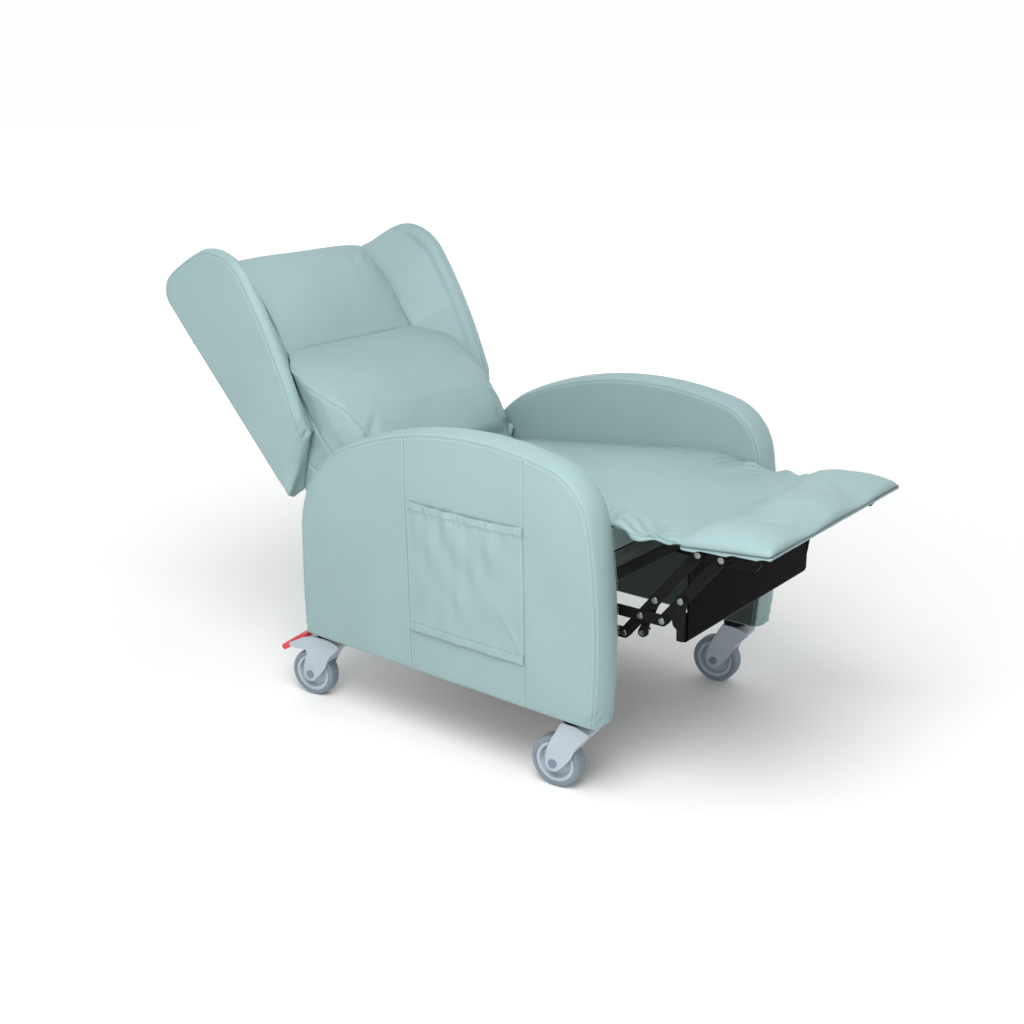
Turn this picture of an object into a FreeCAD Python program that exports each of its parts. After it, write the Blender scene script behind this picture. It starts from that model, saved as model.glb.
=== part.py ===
import FreeCAD, Part
import math
import os

from FreeCAD import Placement, Rotation, Vector

# A wing-back reclining armchair on four swivel casters, in millimetres.
# +Z is up, the floor is z = 0, the middle plane is x = 0 and the sitter looks towards -Y.
# The origin is on the floor, under the middle of the arms. "right" is the sitter's right, at -X.
# It is drawn reclined: leg rest out, backrest at its rear stop.

SIZES = (
    ("Arms",
     ("arm_inner", 253, "middle plane to the arm's inner face"),
     ("arm_thickness", 66, "arm, across"),
     ("arm_crown", 9, "rise of the padded edge band between its two seams"),
     ("arm_bottom", 149, "floor to the arm's lower edge"),
     ("arm_rear", 366, "rear foot of the arm"),
     ("arm_front", -356, "front foot of the arm"),
     ("arm_rear_lean", 5.5, "rear edge leans forward by this at the shoulder"),
     ("arm_shoulder_rise", 220, "where the rear edge starts to curve"),
     ("arm_slope_run", 130, "rear foot to the end of the rear curve"),
     ("arm_slope_rise", 409.5, "height of that point above the lower edge"),
     ("arm_brow_run", 90, "front foot to the start of the front curve"),
     ("arm_brow_rise", 458, "height of that point above the lower edge"),
     ("arm_nose_run", 6, "front foot to the end of the front curve"),
     ("arm_nose_rise", 367.5, "height of that point above the lower edge"),
     ("arm_board_thickness", 36, "wooden panel inside the arm"),
     ("arm_padding", 25, "padding around the panel's edge"),
     ("pocket_rear", 65, "rear seam of the magazine pocket"),
     ("pocket_width", 280, "pocket, front to back"),
     ("pocket_bottom", 235, "floor to the pocket's lower edge"),
     ("pocket_height", 259, "pocket, lower edge to mouth"),
     ("pocket_depth", 7, "room inside the pocket"),
     ("pocket_wall", 2, "pocket cloth and its hems")),
    ("Seat",
     ("deck_front", -329, "front edge of the seat"),
     ("deck_front_height", 440, "top of the seat rails at the front"),
     ("deck_length", 559.5, "seat, front to back"),
     ("deck_slope", 4.6, "seat rails fall to the rear, degrees"),
     ("rail_height", 28, "wooden cross rails"),
     ("rail_width", 26, "wooden cross rails"),
     ("side_rail_outer", 252.9, "middle plane to the side rails' outer faces"),
     ("side_rail_width", 20.8, "wooden side rails"),
     ("side_rail_height", 62, "wooden side rails"),
     ("web_width", 50, "seat webbing strap"),
     ("web_thickness", 1.5, "seat webbing strap"),
     ("web_pitch", 80, "between straps"),
     ("seat_half", 248.5, "half width of the seat cushion"),
     ("seat_nose_rise", 58, "rails to the start of the rounded nose"),
     ("seat_front_rise", 71, "rails to the cushion's front top edge"),
     ("seat_crest_rise", 81, "rails to the cushion's crest"),
     ("seat_rear_rise", 71, "rails to the cushion's rear top edge"),
     ("seat_crown", 8, "cushion's middle above its sides"),
     ("soft_gap", 0.3, "between a soft piece and its neighbour")),
    ("Steelwork",
     ("tube_size", 30, "square cross tubes"),
     ("tube_wall", 2, "square cross tubes"),
     ("front_tube", -300, "centre line of the front cross tube"),
     ("rear_tube", 190, "centre line of the rear cross tube"),
     ("plate_thickness", 4, "side plates, links and brackets"),
     ("plate_outer", 232, "middle plane to the side plates' outer faces"),
     ("link_layer", 5, "from one layer of links to the next"),
     ("plate_to_link", 5.5, "side plate's layer to the outer links' layer"),
     ("bar_width", 20, "links"),
     ("rivet_radius", 4, "pivot rivets"),
     ("rivet_head_radius", 6, "pivot rivets"),
     ("rivet_head", 2.2, "height of a rivet's outer head"),
     ("rivet_tail", 0.8, "height of a rivet's inner head"),
     ("bolt_front", 262, "front plate bolts, ahead of the origin"),
     ("bolt_middle", 60, "middle plate bolts, ahead of the origin"),
     ("bolt_rear", 140, "rear plate bolts, behind the origin"),
     ("bolt_drop", 46, "plate bolts below the rails' upper face"),
     ("bolt_head", 3.5, "height of a plate bolt's head"),
     ("bolt_head_radius", 7, "plate bolt's head, middle to corner"),
     ("running_gap", 0.05, "radial, pin in hole")),
    ("Leg rest linkage",
     ("fold_front", 338.5, "leg rest's turning axis, ahead of the origin"),
     ("fold_height", 476.4, "leg rest's turning axis above the floor"),
     ("link_length", 171.2, "rocker pivot to leg rest pivot"),
     ("link_angle", 50.7, "links above the forward direction, degrees"),
     ("link_tail", 52.7, "long link below its rocker pivot"),
     ("rocker_reach", 165, "rocker's fixed pivot to the long link"),
     ("rocker_span", 44.1, "long link's pivot to the short link's"),
     ("rocker_rise", 0.6, "rockers above the forward direction, degrees"),
     ("guard_pivot", 57.3, "short link's lower pivot to the guard's bolt"),
     ("stop_rivet", 42, "long link's middle pivot to the stop arm's rivet"),
     ("stop_back", 4.2, "stop roller behind that pivot"),
     ("stop_drop", 37.8, "stop roller below that pivot"),
     ("stop_roller_radius", 9, "stop roller"),
     ("stop_arm_width", 14, "stop arm"),
     ("guard_front", 484.3, "front face of the guard board, ahead of the origin"),
     ("guard_depth", 20, "guard board, front to back"),
     ("guard_bottom", 312, "guard board's lower edge"),
     ("guard_height", 163, "guard board"),
     ("guard_wall", 3, "guard board's folded sheet"),
     ("guard_corner", 8, "guard board's bent corners"),
     ("guard_lip", 26, "guard board's rear lip"),
     ("guard_tab", 44, "height of the tabs that hold the guard board"),
     ("guard_half", 214.5, "half width of the guard board")),
    ("Leg rest",
     ("leg_tilt", 5, "leg rest's front is raised, degrees"),
     ("leg_foot", 11, "long link's pivot to the underside of the pad"),
     ("leg_bracket_drop", 17, "bracket's lower edge below that pivot"),
     ("leg_bracket_front", 113, "bracket ahead of the long link's pivot"),
     ("leg_bracket_rear", 12, "bracket behind that pivot"),
     ("leg_flange", 25, "bracket's flange under the board"),
     ("leg_board_thickness", 12, "leg rest board"),
     ("leg_half", 247.5, "half width of the leg rest"),
     ("leg_front", 148, "pad ahead of the long link's pivot"),
     ("leg_rear", 24, "pad behind that pivot"),
     ("leg_edge", 18, "pad's height at its sides"),
     ("leg_front_edge", 9, "pad's height at its front corners"),
     ("leg_crown", 23, "pad's middle above its sides"),
     ("leg_border", 9, "pad's edge around the board"),
     ("flap_half", 240, "half width of the flap"),
     ("flap_rise", 511, "flap's rear top edge above the floor"),
     ("flap_thickness", 12, "flap"),
     ("flap_sag", 7, "flap's sag")),
    ("Backrest",
     ("back_axis", 275, "backrest's hinge behind the origin"),
     ("back_axis_height", 440, "backrest's hinge above the floor"),
     ("recline", 45, "backrest from upright, degrees"),
     ("back_radius", 43, "hinge to the backrest's front face"),
     ("lumbar_half", 240, "half width of the lumbar cushion"),
     ("lumbar_top", 352, "hinge to the seam between the cushions"),
     ("lumbar_bulge", 90, "hinge line to the lumbar crest"),
     ("seam_depth", 18, "hinge line to the seam between the cushions"),
     ("cushion_back", 6, "cushions' rear face behind the hinge line"),
     ("head_half", 190, "half width of the head cushion"),
     ("head_top", 596, "hinge to the top of the head cushion"),
     ("head_bulge", 50, "hinge line to the head cushion's face"),
     ("lumbar_crown", 8, "lumbar cushion's middle above its sides"),
     ("head_crown", 12, "head cushion's middle above its sides"),
     ("frame_depth", 34, "wooden back frame"),
     ("frame_width", 36.5, "wooden back frame"),
     ("frame_outer", 243.5, "middle plane to the frame's outer face"),
     ("frame_foot", 28, "frame below the hinge"),
     ("frame_top", 585, "hinge to the frame's top"),
     ("panel_half", 261.5, "half width of the rear panel"),
     ("panel_foot", 60, "hinge to the rear panel's lower edge"),
     ("panel_crown", 5, "rear panel's middle behind its sides"),
     ("panel_inset", 14, "rear panel's sides ahead of the wings' rear edge"),
     ("wing_inner", 262, "middle plane to the wing's inner face"),
     ("wing_thickness", 40, "wing, across"),
     ("wing_round", 16, "wing's inner edge behind its crest"),
     ("wing_rear", 111, "hinge line to the wing's rear foot"),
     ("wing_foot", 88, "hinge to the wing's rear foot"),
     ("wing_rear_top", 582, "hinge to the wing's rear top"),
     ("wing_taper", 18, "wing's rear edge runs in by this at the top"),
     ("wing_peak", 626, "hinge to the wing's highest point"),
     ("wing_peak_rear", 38, "hinge line to that point"),
     ("wing_brow", 594, "hinge to the end of the top curve"),
     ("wing_brow_front", 67, "hinge line to that point"),
     ("wing_nose", 462, "hinge to the end of the front curve"),
     ("wing_nose_front", 137, "hinge line to that point"),
     ("wing_tip", 150, "hinge to the wing's lower front corner"),
     ("wing_tip_front", 27, "hinge line to that corner"),
     ("bolster_back", 22, "bolster's edge behind the wing's crest"),
     ("hinge_pin_radius", 6, "backrest hinge pins"),
     ("hinge_flange_radius", 18, "pins' flanges on the arms"),
     ("hinge_bracket_top", 140, "hinge to the bracket's upper end")),
    ("Casters",
     ("caster_half", 281, "middle plane to the swivel axes"),
     ("caster_front", -299, "front swivel axes"),
     ("caster_rear", 340, "rear swivel axes"),
     ("front_swivel", 6.5, "front casters' turn in the rest pose, degrees"),
     ("rear_swivel", 11.9, "rear casters' turn in the rest pose, degrees"),
     ("wheel_radius", 50, "wheel"),
     ("tyre_width", 30, "tyre"),
     ("tyre_depth", 10, "tyre, tread to rim"),
     ("trail", 38, "swivel axis to the wheel's axle"),
     ("fork_half", 22, "half width of the fork"),
     ("fork_cheek", 4.4, "thickness of the fork's cheeks"),
     ("wheel_room", 54, "radius of the wheel's space in the fork"),
     ("fork_top", 137, "floor to the top of the fork"),
     ("hub_boss", 16, "radius of the fork's foot around the axle"),
     ("head_radius", 24, "black swivel head under the arm"),
     ("stem_radius", 6, "swivel stem"),
     ("stem_length", 24, "swivel stem below the head"),
     ("axle_radius", 5, "wheel axle"),
     ("axle_cap_radius", 8.5, "axle's caps"),
     ("axle_cap", 2, "height of an axle cap"),
     ("pedal_half", 16, "half width of the brake pedal"),
     ("pedal_pin_radius", 3.5, "brake pedal's trunnions"),
     ("pedal_pin_back", 50, "trunnions behind the swivel axis"),
     ("pedal_pin_height", 124, "trunnions above the floor")),
)

SIDES = (("right", -1), ("left", 1))
NO_TURN = Rotation()

doc = FreeCAD.newDocument("recliner")
sheet = doc.addObject("Spreadsheet::Sheet", "Sizes")
subparts = []


def fill_sheet():
    row = 1
    for heading, *lines in SIZES:
        sheet.set("A%d" % row, heading)
        row += 1
        for alias, number, note in lines:
            sheet.set("A%d" % row, alias)
            sheet.set("B%d" % row, str(number))
            sheet.set("C%d" % row, note)
            sheet.setAlias("B%d" % row, alias)
            row += 1
    doc.recompute()


fill_sheet()


def size(alias):
    return float(sheet.get(alias))


def bind(obj, **expressions):
    for name, text in expressions.items():
        obj.setExpression(name.replace("__", "."), text)


def keep(obj, label):
    obj.Label = label
    subparts.append(obj)
    return obj


def feature(label, shape, base=Vector(), turn=NO_TURN):
    obj = doc.addObject("Part::Feature", label)
    obj.Shape = shape
    obj.Placement = Placement(base, turn)
    return keep(obj, label)


# Outlines are lists of segments in a side plane: (a, b) is a line and (a, middle, b) an arc.
# A point there is a pair: distance to the rear, distance up.


def segment_edge(segment, x):
    points = [Vector(x, a, b) for a, b in segment]
    if len(points) == 2:
        return Part.LineSegment(*points).toShape()
    return Part.Arc(*points).toShape()


def side_wire(outline, x=0.0):
    return Part.Wire([segment_edge(s, x) for s in outline])


def side_solid(outline, x, width):
    return Part.Face(side_wire(outline, x)).extrude(Vector(width, 0, 0))


def side_loft(sections, ruled=False):
    """Solid through outlines that stand at several x values."""
    return Part.makeLoft([side_wire(outline, x) for x, outline in sections], True, ruled)


def polygon(points):
    return [(a, b) for a, b in zip(points, points[1:] + points[:1])]


def tangent_outline(points, grow=0.0):
    """A line through the first two points, then one arc to each further point, all tangent.

    The outline turns left, and grow moves all of it outwards. The arcs' ends stay on
    the same radii, so grown outlines match the first one piece by piece."""
    start, end = Vector(*points[0], 0), Vector(*points[1], 0)
    along = (end - start).normalize()
    out = Vector(along.y, -along.x, 0)
    outline = [((start + out * grow), (end + out * grow))]
    for point in points[2:]:
        start, end = end, Vector(*point, 0)
        left = Vector(-along.y, along.x, 0)
        chord = end - start
        radius = chord.dot(chord) / (2 * chord.dot(left))
        centre = start + left * radius
        reach = radius + grow
        first, last = (start - centre).normalize(), (end - centre).normalize()
        middle = (first + last).normalize()
        outline.append((centre + first * reach, centre + middle * reach, centre + last * reach))
        along = Vector(-last.y, last.x, 0)
    return [tuple((p.x, p.y) for p in segment) for segment in outline]


def closed(outline, *corners):
    """The outline with straight lines from its end over the corners to its start."""
    points = [outline[-1][-1], *corners, outline[0][0]]
    return outline + [(a, b) for a, b in zip(points, points[1:])]


def ahead(distance, angle):
    """A step in a side plane, at an angle above the forward direction."""
    a = math.radians(angle)
    return Vector(-distance * math.cos(a), distance * math.sin(a), 0)


def pair(point):
    return (point.x, point.y)


def cylinder_x(radius, x, width, point):
    return Part.makeCylinder(radius, width, Vector(x, point.x, point.y), Vector(1, 0, 0))


def layer(index):
    """Inner face of a layer of plates: 0 side plates, 1 outer links, 2 inner links, 3 brackets."""
    inner = size("plate_outer") - size("plate_thickness")
    if index > 0:
        inner -= size("plate_to_link") + (index - 1) * size("link_layer")
    return inner


def outward(side, inner, width):
    """Lowest x of a piece that reaches from inner to inner + width on one side."""
    return inner if side > 0 else -inner - width


# Arms


def arm_points():
    """Points on the arm's outline; its ends run on below the arm, which is then cut level."""
    rear, front, foot = size("arm_rear"), size("arm_front"), size("arm_bottom")
    return [
        (rear, foot - 12),
        (rear - size("arm_rear_lean"), foot + size("arm_shoulder_rise")),
        (rear - size("arm_slope_run"), foot + size("arm_slope_rise")),
        (front + size("arm_brow_run"), foot + size("arm_brow_rise")),
        (front + size("arm_nose_run"), foot + size("arm_nose_rise")),
        (front, foot - 12),
    ]


def arm_outline(grow=0.0):
    return closed(tangent_outline(arm_points(), grow))


def make_arms():
    thickness, board = size("arm_thickness"), size("arm_board_thickness")
    board_x = (thickness - board) / 2
    pad = side_loft([(0, arm_outline()), (thickness / 2, arm_outline(size("arm_crown"))),
                     (thickness, arm_outline())])
    pad = pad.cut(side_solid(arm_outline(-size("arm_padding")), board_x, board))
    below = Part.makeBox(thickness + 20, 2000, 50, Vector(-10, -1000, size("arm_bottom") - 50))
    pad = pad.cut(below)
    inset = size("arm_padding") + size("soft_gap")
    panel = side_solid(arm_outline(-inset), board_x + size("soft_gap"), board - 2 * size("soft_gap"))
    panel = panel.cut(below)
    for name, side in SIDES:
        base = Vector(outward(side, size("arm_inner"), thickness), 0, 0)
        feature("arm_pad_" + name, pad, base)
        feature("arm_board_" + name, panel, base)


def make_magazine_pocket():
    outer = doc.addObject("Part::Box", "pocket_outer")
    bind(outer, Length="Sizes.pocket_depth + Sizes.pocket_wall", Width="Sizes.pocket_width",
         Height="Sizes.pocket_height")
    room = doc.addObject("Part::Box", "pocket_room")
    bind(room, Length="Sizes.pocket_depth", Width="Sizes.pocket_width - 2 * Sizes.pocket_wall",
         Height="Sizes.pocket_height", Placement__Base__x="Sizes.pocket_wall",
         Placement__Base__y="Sizes.pocket_wall", Placement__Base__z="Sizes.pocket_wall")
    pocket = doc.addObject("Part::Cut", "magazine_pocket")
    pocket.Base, pocket.Tool = outer, room
    bind(pocket, Placement__Base__x="-(Sizes.arm_inner + Sizes.arm_thickness"
         " + Sizes.pocket_depth + Sizes.pocket_wall)",
         Placement__Base__y="Sizes.pocket_rear - Sizes.pocket_width",
         Placement__Base__z="Sizes.pocket_bottom")
    keep(pocket, "magazine_pocket")


# Seat


def deck_z(y, rise=0.0):
    """Height at y of a line that lies rise above the top of the seat rails."""
    slope = math.tan(math.radians(size("deck_slope")))
    return size("deck_front_height") + rise - (y - size("deck_front")) * slope


def seat_section(lower):
    """Side outline of the seat cushion; lower is how far its top lies below the middle's."""
    front, rear = size("deck_front") + lower / 2, size("deck_front") + size("deck_length")
    foot = size("web_thickness") + size("soft_gap")
    top_front, crest = front + 18, front + 129
    middle = (top_front + crest) / 2
    drop = size("seat_crown") - lower
    corner = [
        (rear, deck_z(rear, foot)), (front, deck_z(front, foot)),
        (front, deck_z(front, size("seat_nose_rise") + drop / 2)),
        (top_front, deck_z(top_front, size("seat_front_rise") + drop)),
        (crest, deck_z(crest, size("seat_crest_rise") + drop)),
        (rear, deck_z(rear, size("seat_rear_rise") + drop)),
    ]
    nose = (front + 5, deck_z(front + 5, size("seat_front_rise") - 4 + drop))
    brow = (middle, deck_z(middle, (size("seat_front_rise") + size("seat_crest_rise")) / 2 + 3 + drop))
    return [(corner[0], corner[1]), (corner[1], corner[2]), (corner[2], nose, corner[3]),
            (corner[3], brow, corner[4]), (corner[4], corner[5]), (corner[5], corner[0])]


def make_seat():
    half, crown = size("seat_half"), size("seat_crown")
    steps = ((-1, crown), (-0.68, crown / 4), (0, 0), (0.68, crown / 4), (1, crown))
    feature("seat_cushion", side_loft([(s * half, seat_section(low)) for s, low in steps]))
    turn = Rotation(Vector(1, 0, 0), -size("deck_slope"))
    base = Vector(0, size("deck_front"), size("deck_front_height"))
    width, height = size("rail_width"), size("rail_height")
    side_width, side_height = size("side_rail_width"), size("side_rail_height")
    outer = size("side_rail_outer")
    length = size("deck_length") / math.cos(math.radians(size("deck_slope"))) - 6
    rails = [
        Part.makeBox(side_width, length, side_height, Vector(x, 3, -side_height))
        for x in (-outer, outer - side_width)
    ]
    inside = 2 * (outer - side_width)
    rails += [
        Part.makeBox(inside, width, height, Vector(-inside / 2, y, -height))
        for y in (3, 3 + length - width)
    ]
    feature("seat_rails", Part.makeCompound(rails).cut(plate_bolt_holes(base, turn)), base, turn)
    web = size("web_width")
    straps = [
        Part.makeBox(web, length, size("web_thickness"), Vector(i * size("web_pitch") - web / 2, 3, 0))
        for i in range(-2, 3)
    ]
    feature("seat_webbing", Part.makeCompound(straps), base, turn)


# Steelwork of the seat


def tube_top(centre):
    """Top of a cross tube, just under the seat rails above its rear edge."""
    slope = math.cos(math.radians(size("deck_slope")))
    return deck_z(centre + size("tube_size") / 2, -size("rail_height") / slope) - size("running_gap")


def new_body(label):
    body = doc.addObject("PartDesign::Body", label)
    return keep(body, label)


def new_sketch(body, role, name):
    sketch = body.newObject("Sketcher::SketchObject", name)
    plane = [f for f in body.Origin.OriginFeatures if f.Role == role][0]
    sketch.AttachmentSupport = [(plane, "")]
    sketch.MapMode = "FlatFace"
    return sketch


def constrain(sketch, kind, *values, bound=None):
    import Sketcher
    index = sketch.addConstraint(Sketcher.Constraint(kind, *values))
    if bound:
        name, text = bound
        sketch.renameConstraint(index, name)
        sketch.setExpression("Constraints." + name, text)


def sketch_outline(sketch, outline):
    """Closed outline of lines and arcs in the sketch's own axes."""
    for segment in outline:
        points = [Vector(a, b, 0) for a, b in segment]
        shape = Part.LineSegment(*points) if len(points) == 2 else Part.Arc(*points)
        sketch.addGeometry(shape)


def sketch_holes(sketch, holes):
    """Round holes: (name, centre, radius expression)."""
    for name, centre, text in holes:
        circle = Part.Circle(Vector(centre.x, centre.y, 0), Vector(0, 0, 1), 1)
        index = sketch.addGeometry(circle)
        constrain(sketch, "DistanceX", -1, 1, index, 3, centre.x)
        constrain(sketch, "DistanceY", -1, 1, index, 3, centre.y)
        constrain(sketch, "Radius", index, 1.0, bound=(name, text))


def plate(label, outline, holes, x, width="Sizes.plate_thickness"):
    """Flat plate in a side plane, padded outwards along +X from x."""
    body = new_body(label)
    sketch = new_sketch(body, "YZ_Plane", label + "_outline")
    sketch_outline(sketch, outline)
    sketch_holes(sketch, holes)
    pad = body.newObject("PartDesign::Pad", label + "_pad")
    pad.Profile = sketch
    pad.setExpression("Length", width)
    body.Placement = Placement(Vector(x, 0, 0), NO_TURN)
    return body


def bar_outline(start, end, width):
    """Flat bar with round ends about two points."""
    along = (end - start).normalize()
    half = width / 2
    out = Vector(along.y, -along.x, 0) * half
    tip = along * half
    return [
        (pair(start + out), pair(end + out)),
        (pair(end + out), pair(end + tip), pair(end - out)),
        (pair(end - out), pair(start - out)),
        (pair(start - out), pair(start - tip), pair(start + out)),
    ]


def make_tubes():
    half = layer(0)
    for name, centre in (("front_tube", size("front_tube")), ("rear_tube", size("rear_tube"))):
        body = new_body(name)
        sketch = new_sketch(body, "YZ_Plane", name + "_section")
        edge, wall, top = size("tube_size"), size("tube_wall"), tube_top(centre)
        for inset in (0, wall):
            low, high = centre - edge / 2 + inset, centre + edge / 2 - inset
            foot, head = top - edge + inset, top - inset
            sketch_outline(sketch, polygon([(low, foot), (high, foot), (high, head), (low, head)]))
        pad = body.newObject("PartDesign::Pad", name + "_pad")
        pad.Profile = sketch
        bind(pad, Length="2 * (Sizes.plate_outer - Sizes.plate_thickness)")
        body.Placement = Placement(Vector(-half, 0, 0), NO_TURN)


# Pivots of the leg rest linkage, in the side plane


def fold_axis():
    return Vector(-size("fold_front"), size("fold_height"), 0)


def pivots():
    link = ahead(size("link_length"), size("link_angle"))
    rocker = ahead(size("rocker_reach"), size("rocker_rise"))
    upper = fold_axis() - link
    knee = upper + rocker
    foot = knee + ahead(size("rocker_span"), size("rocker_rise"))
    tail = ahead(size("link_tail"), size("link_angle"))
    return {
        "upper": upper, "lower": upper - tail, "knee": knee, "tail": knee - tail, "foot": foot,
        "leg": knee + link, "leg_front": foot + link,
        "guard": foot + ahead(size("guard_pivot"), size("link_angle")),
        "stop_rivet": knee + ahead(size("stop_rivet"), size("link_angle")),
        "stop": knee + Vector(size("stop_back"), -size("stop_drop"), 0),
        "back": Vector(size("back_axis"), size("back_axis_height"), 0),
    }


PIVOT = pivots()
RIVET_HOLE = "Sizes.rivet_radius + Sizes.running_gap"


def rivet(side, inner, outer, point):
    """Rivet through plates from inner to outer, with its big head outside.

    One that reaches into a side plate ends flush there, and has its big head inside."""
    radius, head = size("rivet_radius"), size("rivet_head_radius")
    gap = size("running_gap")
    pieces = [(radius, inner - gap, outer - inner + 2 * gap)]
    if outer > layer(0):
        pieces.append((head, inner - gap - size("rivet_head"), size("rivet_head")))
    else:
        pieces.append((head, outer + gap, size("rivet_head")))
        pieces.append((head, inner - gap - size("rivet_tail"), size("rivet_tail")))
    solids = [cylinder_x(r, outward(side, low, width), width, point) for r, low, width in pieces]
    return solids[0].fuse(solids[1:]).removeSplitter()


def rivet_group(label, places):
    """All of one body's rivets, both sides: (inner, outer, point) each."""
    solids = [rivet(side, inner, outer, point) for _, side in SIDES for inner, outer, point in places]
    feature(label, Part.makeCompound(solids))


def plate_top(y):
    """Upper edge of the side plates, just under the cross rails."""
    slope = math.cos(math.radians(size("deck_slope")))
    return deck_z(y, -size("rail_height") / slope) - size("soft_gap")


def make_side_plates():
    upper, lower = PIVOT["upper"], PIVOT["lower"]
    front = size("front_tube") - size("tube_size") / 2 - 20
    rear = size("rear_tube") + size("tube_size") / 2 + 12
    depth = size("tube_size") + 8
    outline = polygon([
        (front, plate_top(front) - depth), (upper.x - 22, upper.y - 14), (lower.x - 14, lower.y - 18),
        (lower.x + 50, lower.y - 18), (rear - 60, plate_top(rear) - depth),
        (rear, plate_top(rear) - depth), (rear, plate_top(rear)), (front, plate_top(front)),
    ])
    holes = [("upper", upper, RIVET_HOLE), ("lower", lower, RIVET_HOLE)]
    holes += [("bolt%d" % i, point, RIVET_HOLE) for i, point in enumerate(plate_bolt_points())]
    for name, side in SIDES:
        plate("side_plate_" + name, outline, holes, outward(side, layer(0), size("plate_thickness")))


def plate_bolt_points():
    """Bolts that hold a side plate to its wooden side rail."""
    places = (-size("bolt_front"), -size("bolt_middle"), size("bolt_rear"))
    return [Vector(y, deck_z(y, -size("bolt_drop")), 0) for y in places]


BOLT_REACH = 14.0


def plate_bolt_holes(base, turn):
    """Bores for those bolts, in the seat rails' own axes."""
    radius, outer = size("rivet_radius") + size("running_gap"), size("plate_outer")
    bores = []
    for _, side in SIDES:
        for point in plate_bolt_points():
            bore = cylinder_x(radius, outward(side, outer, BOLT_REACH), BOLT_REACH, point)
            bore.Placement = Placement(base, turn).inverse().multiply(bore.Placement)
            bores.append(bore)
    return bores


def make_plate_bolts():
    """Hexagon bolts through the side plates."""
    head, inner, gap = size("bolt_head"), layer(0), size("running_gap")
    reach = size("plate_outer") - inner + BOLT_REACH - 1
    solids = []
    for _, side in SIDES:
        for point in plate_bolt_points():
            turns = [math.radians(60 * i) for i in range(6)]
            corners = [Vector(0, math.cos(a), math.sin(a)) * size("bolt_head_radius") for a in turns]
            hexagon = Part.Face(Part.makePolygon(corners + corners[:1]))
            bolt_head = hexagon.extrude(Vector(head, 0, 0))
            x = outward(side, inner - gap - head, head)
            bolt_head.translate(Vector(x, point.x, point.y))
            shank = cylinder_x(size("rivet_radius"), outward(side, inner - gap, reach), reach, point)
            solids.append(bolt_head.fuse(shank))
    return solids


def make_links():
    p, width = PIVOT, size("bar_width")
    outer, inner, bracket = layer(1), layer(2), layer(3)
    thickness = size("plate_thickness")

    def holes(*names):
        return [(name, p[name], RIVET_HOLE) for name in names]

    def spare(pivot, *distances):
        return [("spare%d" % i, p[pivot] + ahead(d, size("link_angle")), "Sizes.rivet_radius - 1.5")
                for i, d in enumerate(distances)]

    for name, side in SIDES:
        def x(low):
            return outward(side, low, thickness)
        plate("upper_rocker_" + name, bar_outline(p["upper"], p["foot"], width),
              holes("upper", "knee", "foot"), x(outer))
        plate("lower_rocker_" + name, bar_outline(p["lower"], p["tail"], width),
              holes("lower", "tail"), x(outer))
        plate("long_link_" + name, bar_outline(p["tail"], p["leg"], width),
              holes("tail", "knee", "stop_rivet", "leg") + spare("knee", 91.4, 121.5), x(inner))
        plate("short_link_" + name, bar_outline(p["foot"], p["leg_front"], width),
              holes("foot", "guard", "leg_front") + spare("foot", 125.6), x(inner))
    rivet_group("upper_rocker_rivets", [
        (outer, layer(0) + thickness - size("soft_gap"), p["upper"]),
        (inner, outer + thickness, p["knee"]), (inner, outer + thickness, p["foot"])])
    rivet_group("lower_rocker_rivets", [
        (outer, layer(0) + thickness - size("soft_gap"), p["lower"]),
        (inner, outer + thickness, p["tail"])])
    rivet_group("leg_rest_rivets", [
        (bracket, inner + thickness, p["leg"]), (bracket, inner + thickness, p["leg_front"])])
    make_stops(bracket, inner + thickness)


def make_stops(low, high):
    """Arm on each long link that carries the roller which stops the linkage."""
    p, thickness, gap = PIVOT, size("plate_thickness"), size("running_gap")
    outline = bar_outline(p["stop"], p["stop_rivet"], size("stop_arm_width"))
    solids = []
    for _, side in SIDES:
        arm = side_solid(outline, outward(side, low, thickness), thickness)
        solids.append(arm.cut(cylinder_x(size("rivet_radius") + gap, outward(side, low - 1, 6), 6,
                                         p["stop_rivet"])))
        solids.append(rivet(side, low, high, p["stop_rivet"]))
        reach = 7.0
        solids.append(cylinder_x(size("stop_roller_radius"), outward(side, low - reach, reach), reach,
                                 p["stop"]))
    feature("long_link_stops", Part.makeCompound(solids))


def guard_profile():
    """Side outline of the guard board: a folded sheet with two rounded bends and a rear lip."""
    front, rear = -size("guard_front"), -size("guard_front") + size("guard_depth")
    foot, top = size("guard_bottom"), size("guard_bottom") + size("guard_height")
    wall, corner, lip = size("guard_wall"), size("guard_corner"), size("guard_bottom") + size("guard_lip")

    def bends(radius, inset):
        k = radius * (1 - math.sqrt(0.5))
        a, b, c = front + inset, rear - inset, foot + inset
        return [
            ((a, c + radius), (a + k, c + k), (a + radius, c)), ((a + radius, c), (b - radius, c)),
            ((b - radius, c), (b - k, c + k), (b, c + radius)),
        ]

    outer, inner = bends(corner, 0), bends(corner - wall, wall)
    inner = [tuple(reversed(segment)) for segment in reversed(inner)]
    return (
        [((front, top), outer[0][0])] + outer
        + polygon([outer[-1][-1], (rear, lip), (rear - wall, lip), inner[0][0]])[:3] + inner
        + polygon([inner[-1][-1], (front + wall, top), (front, top)])[:2]
    )


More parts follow.
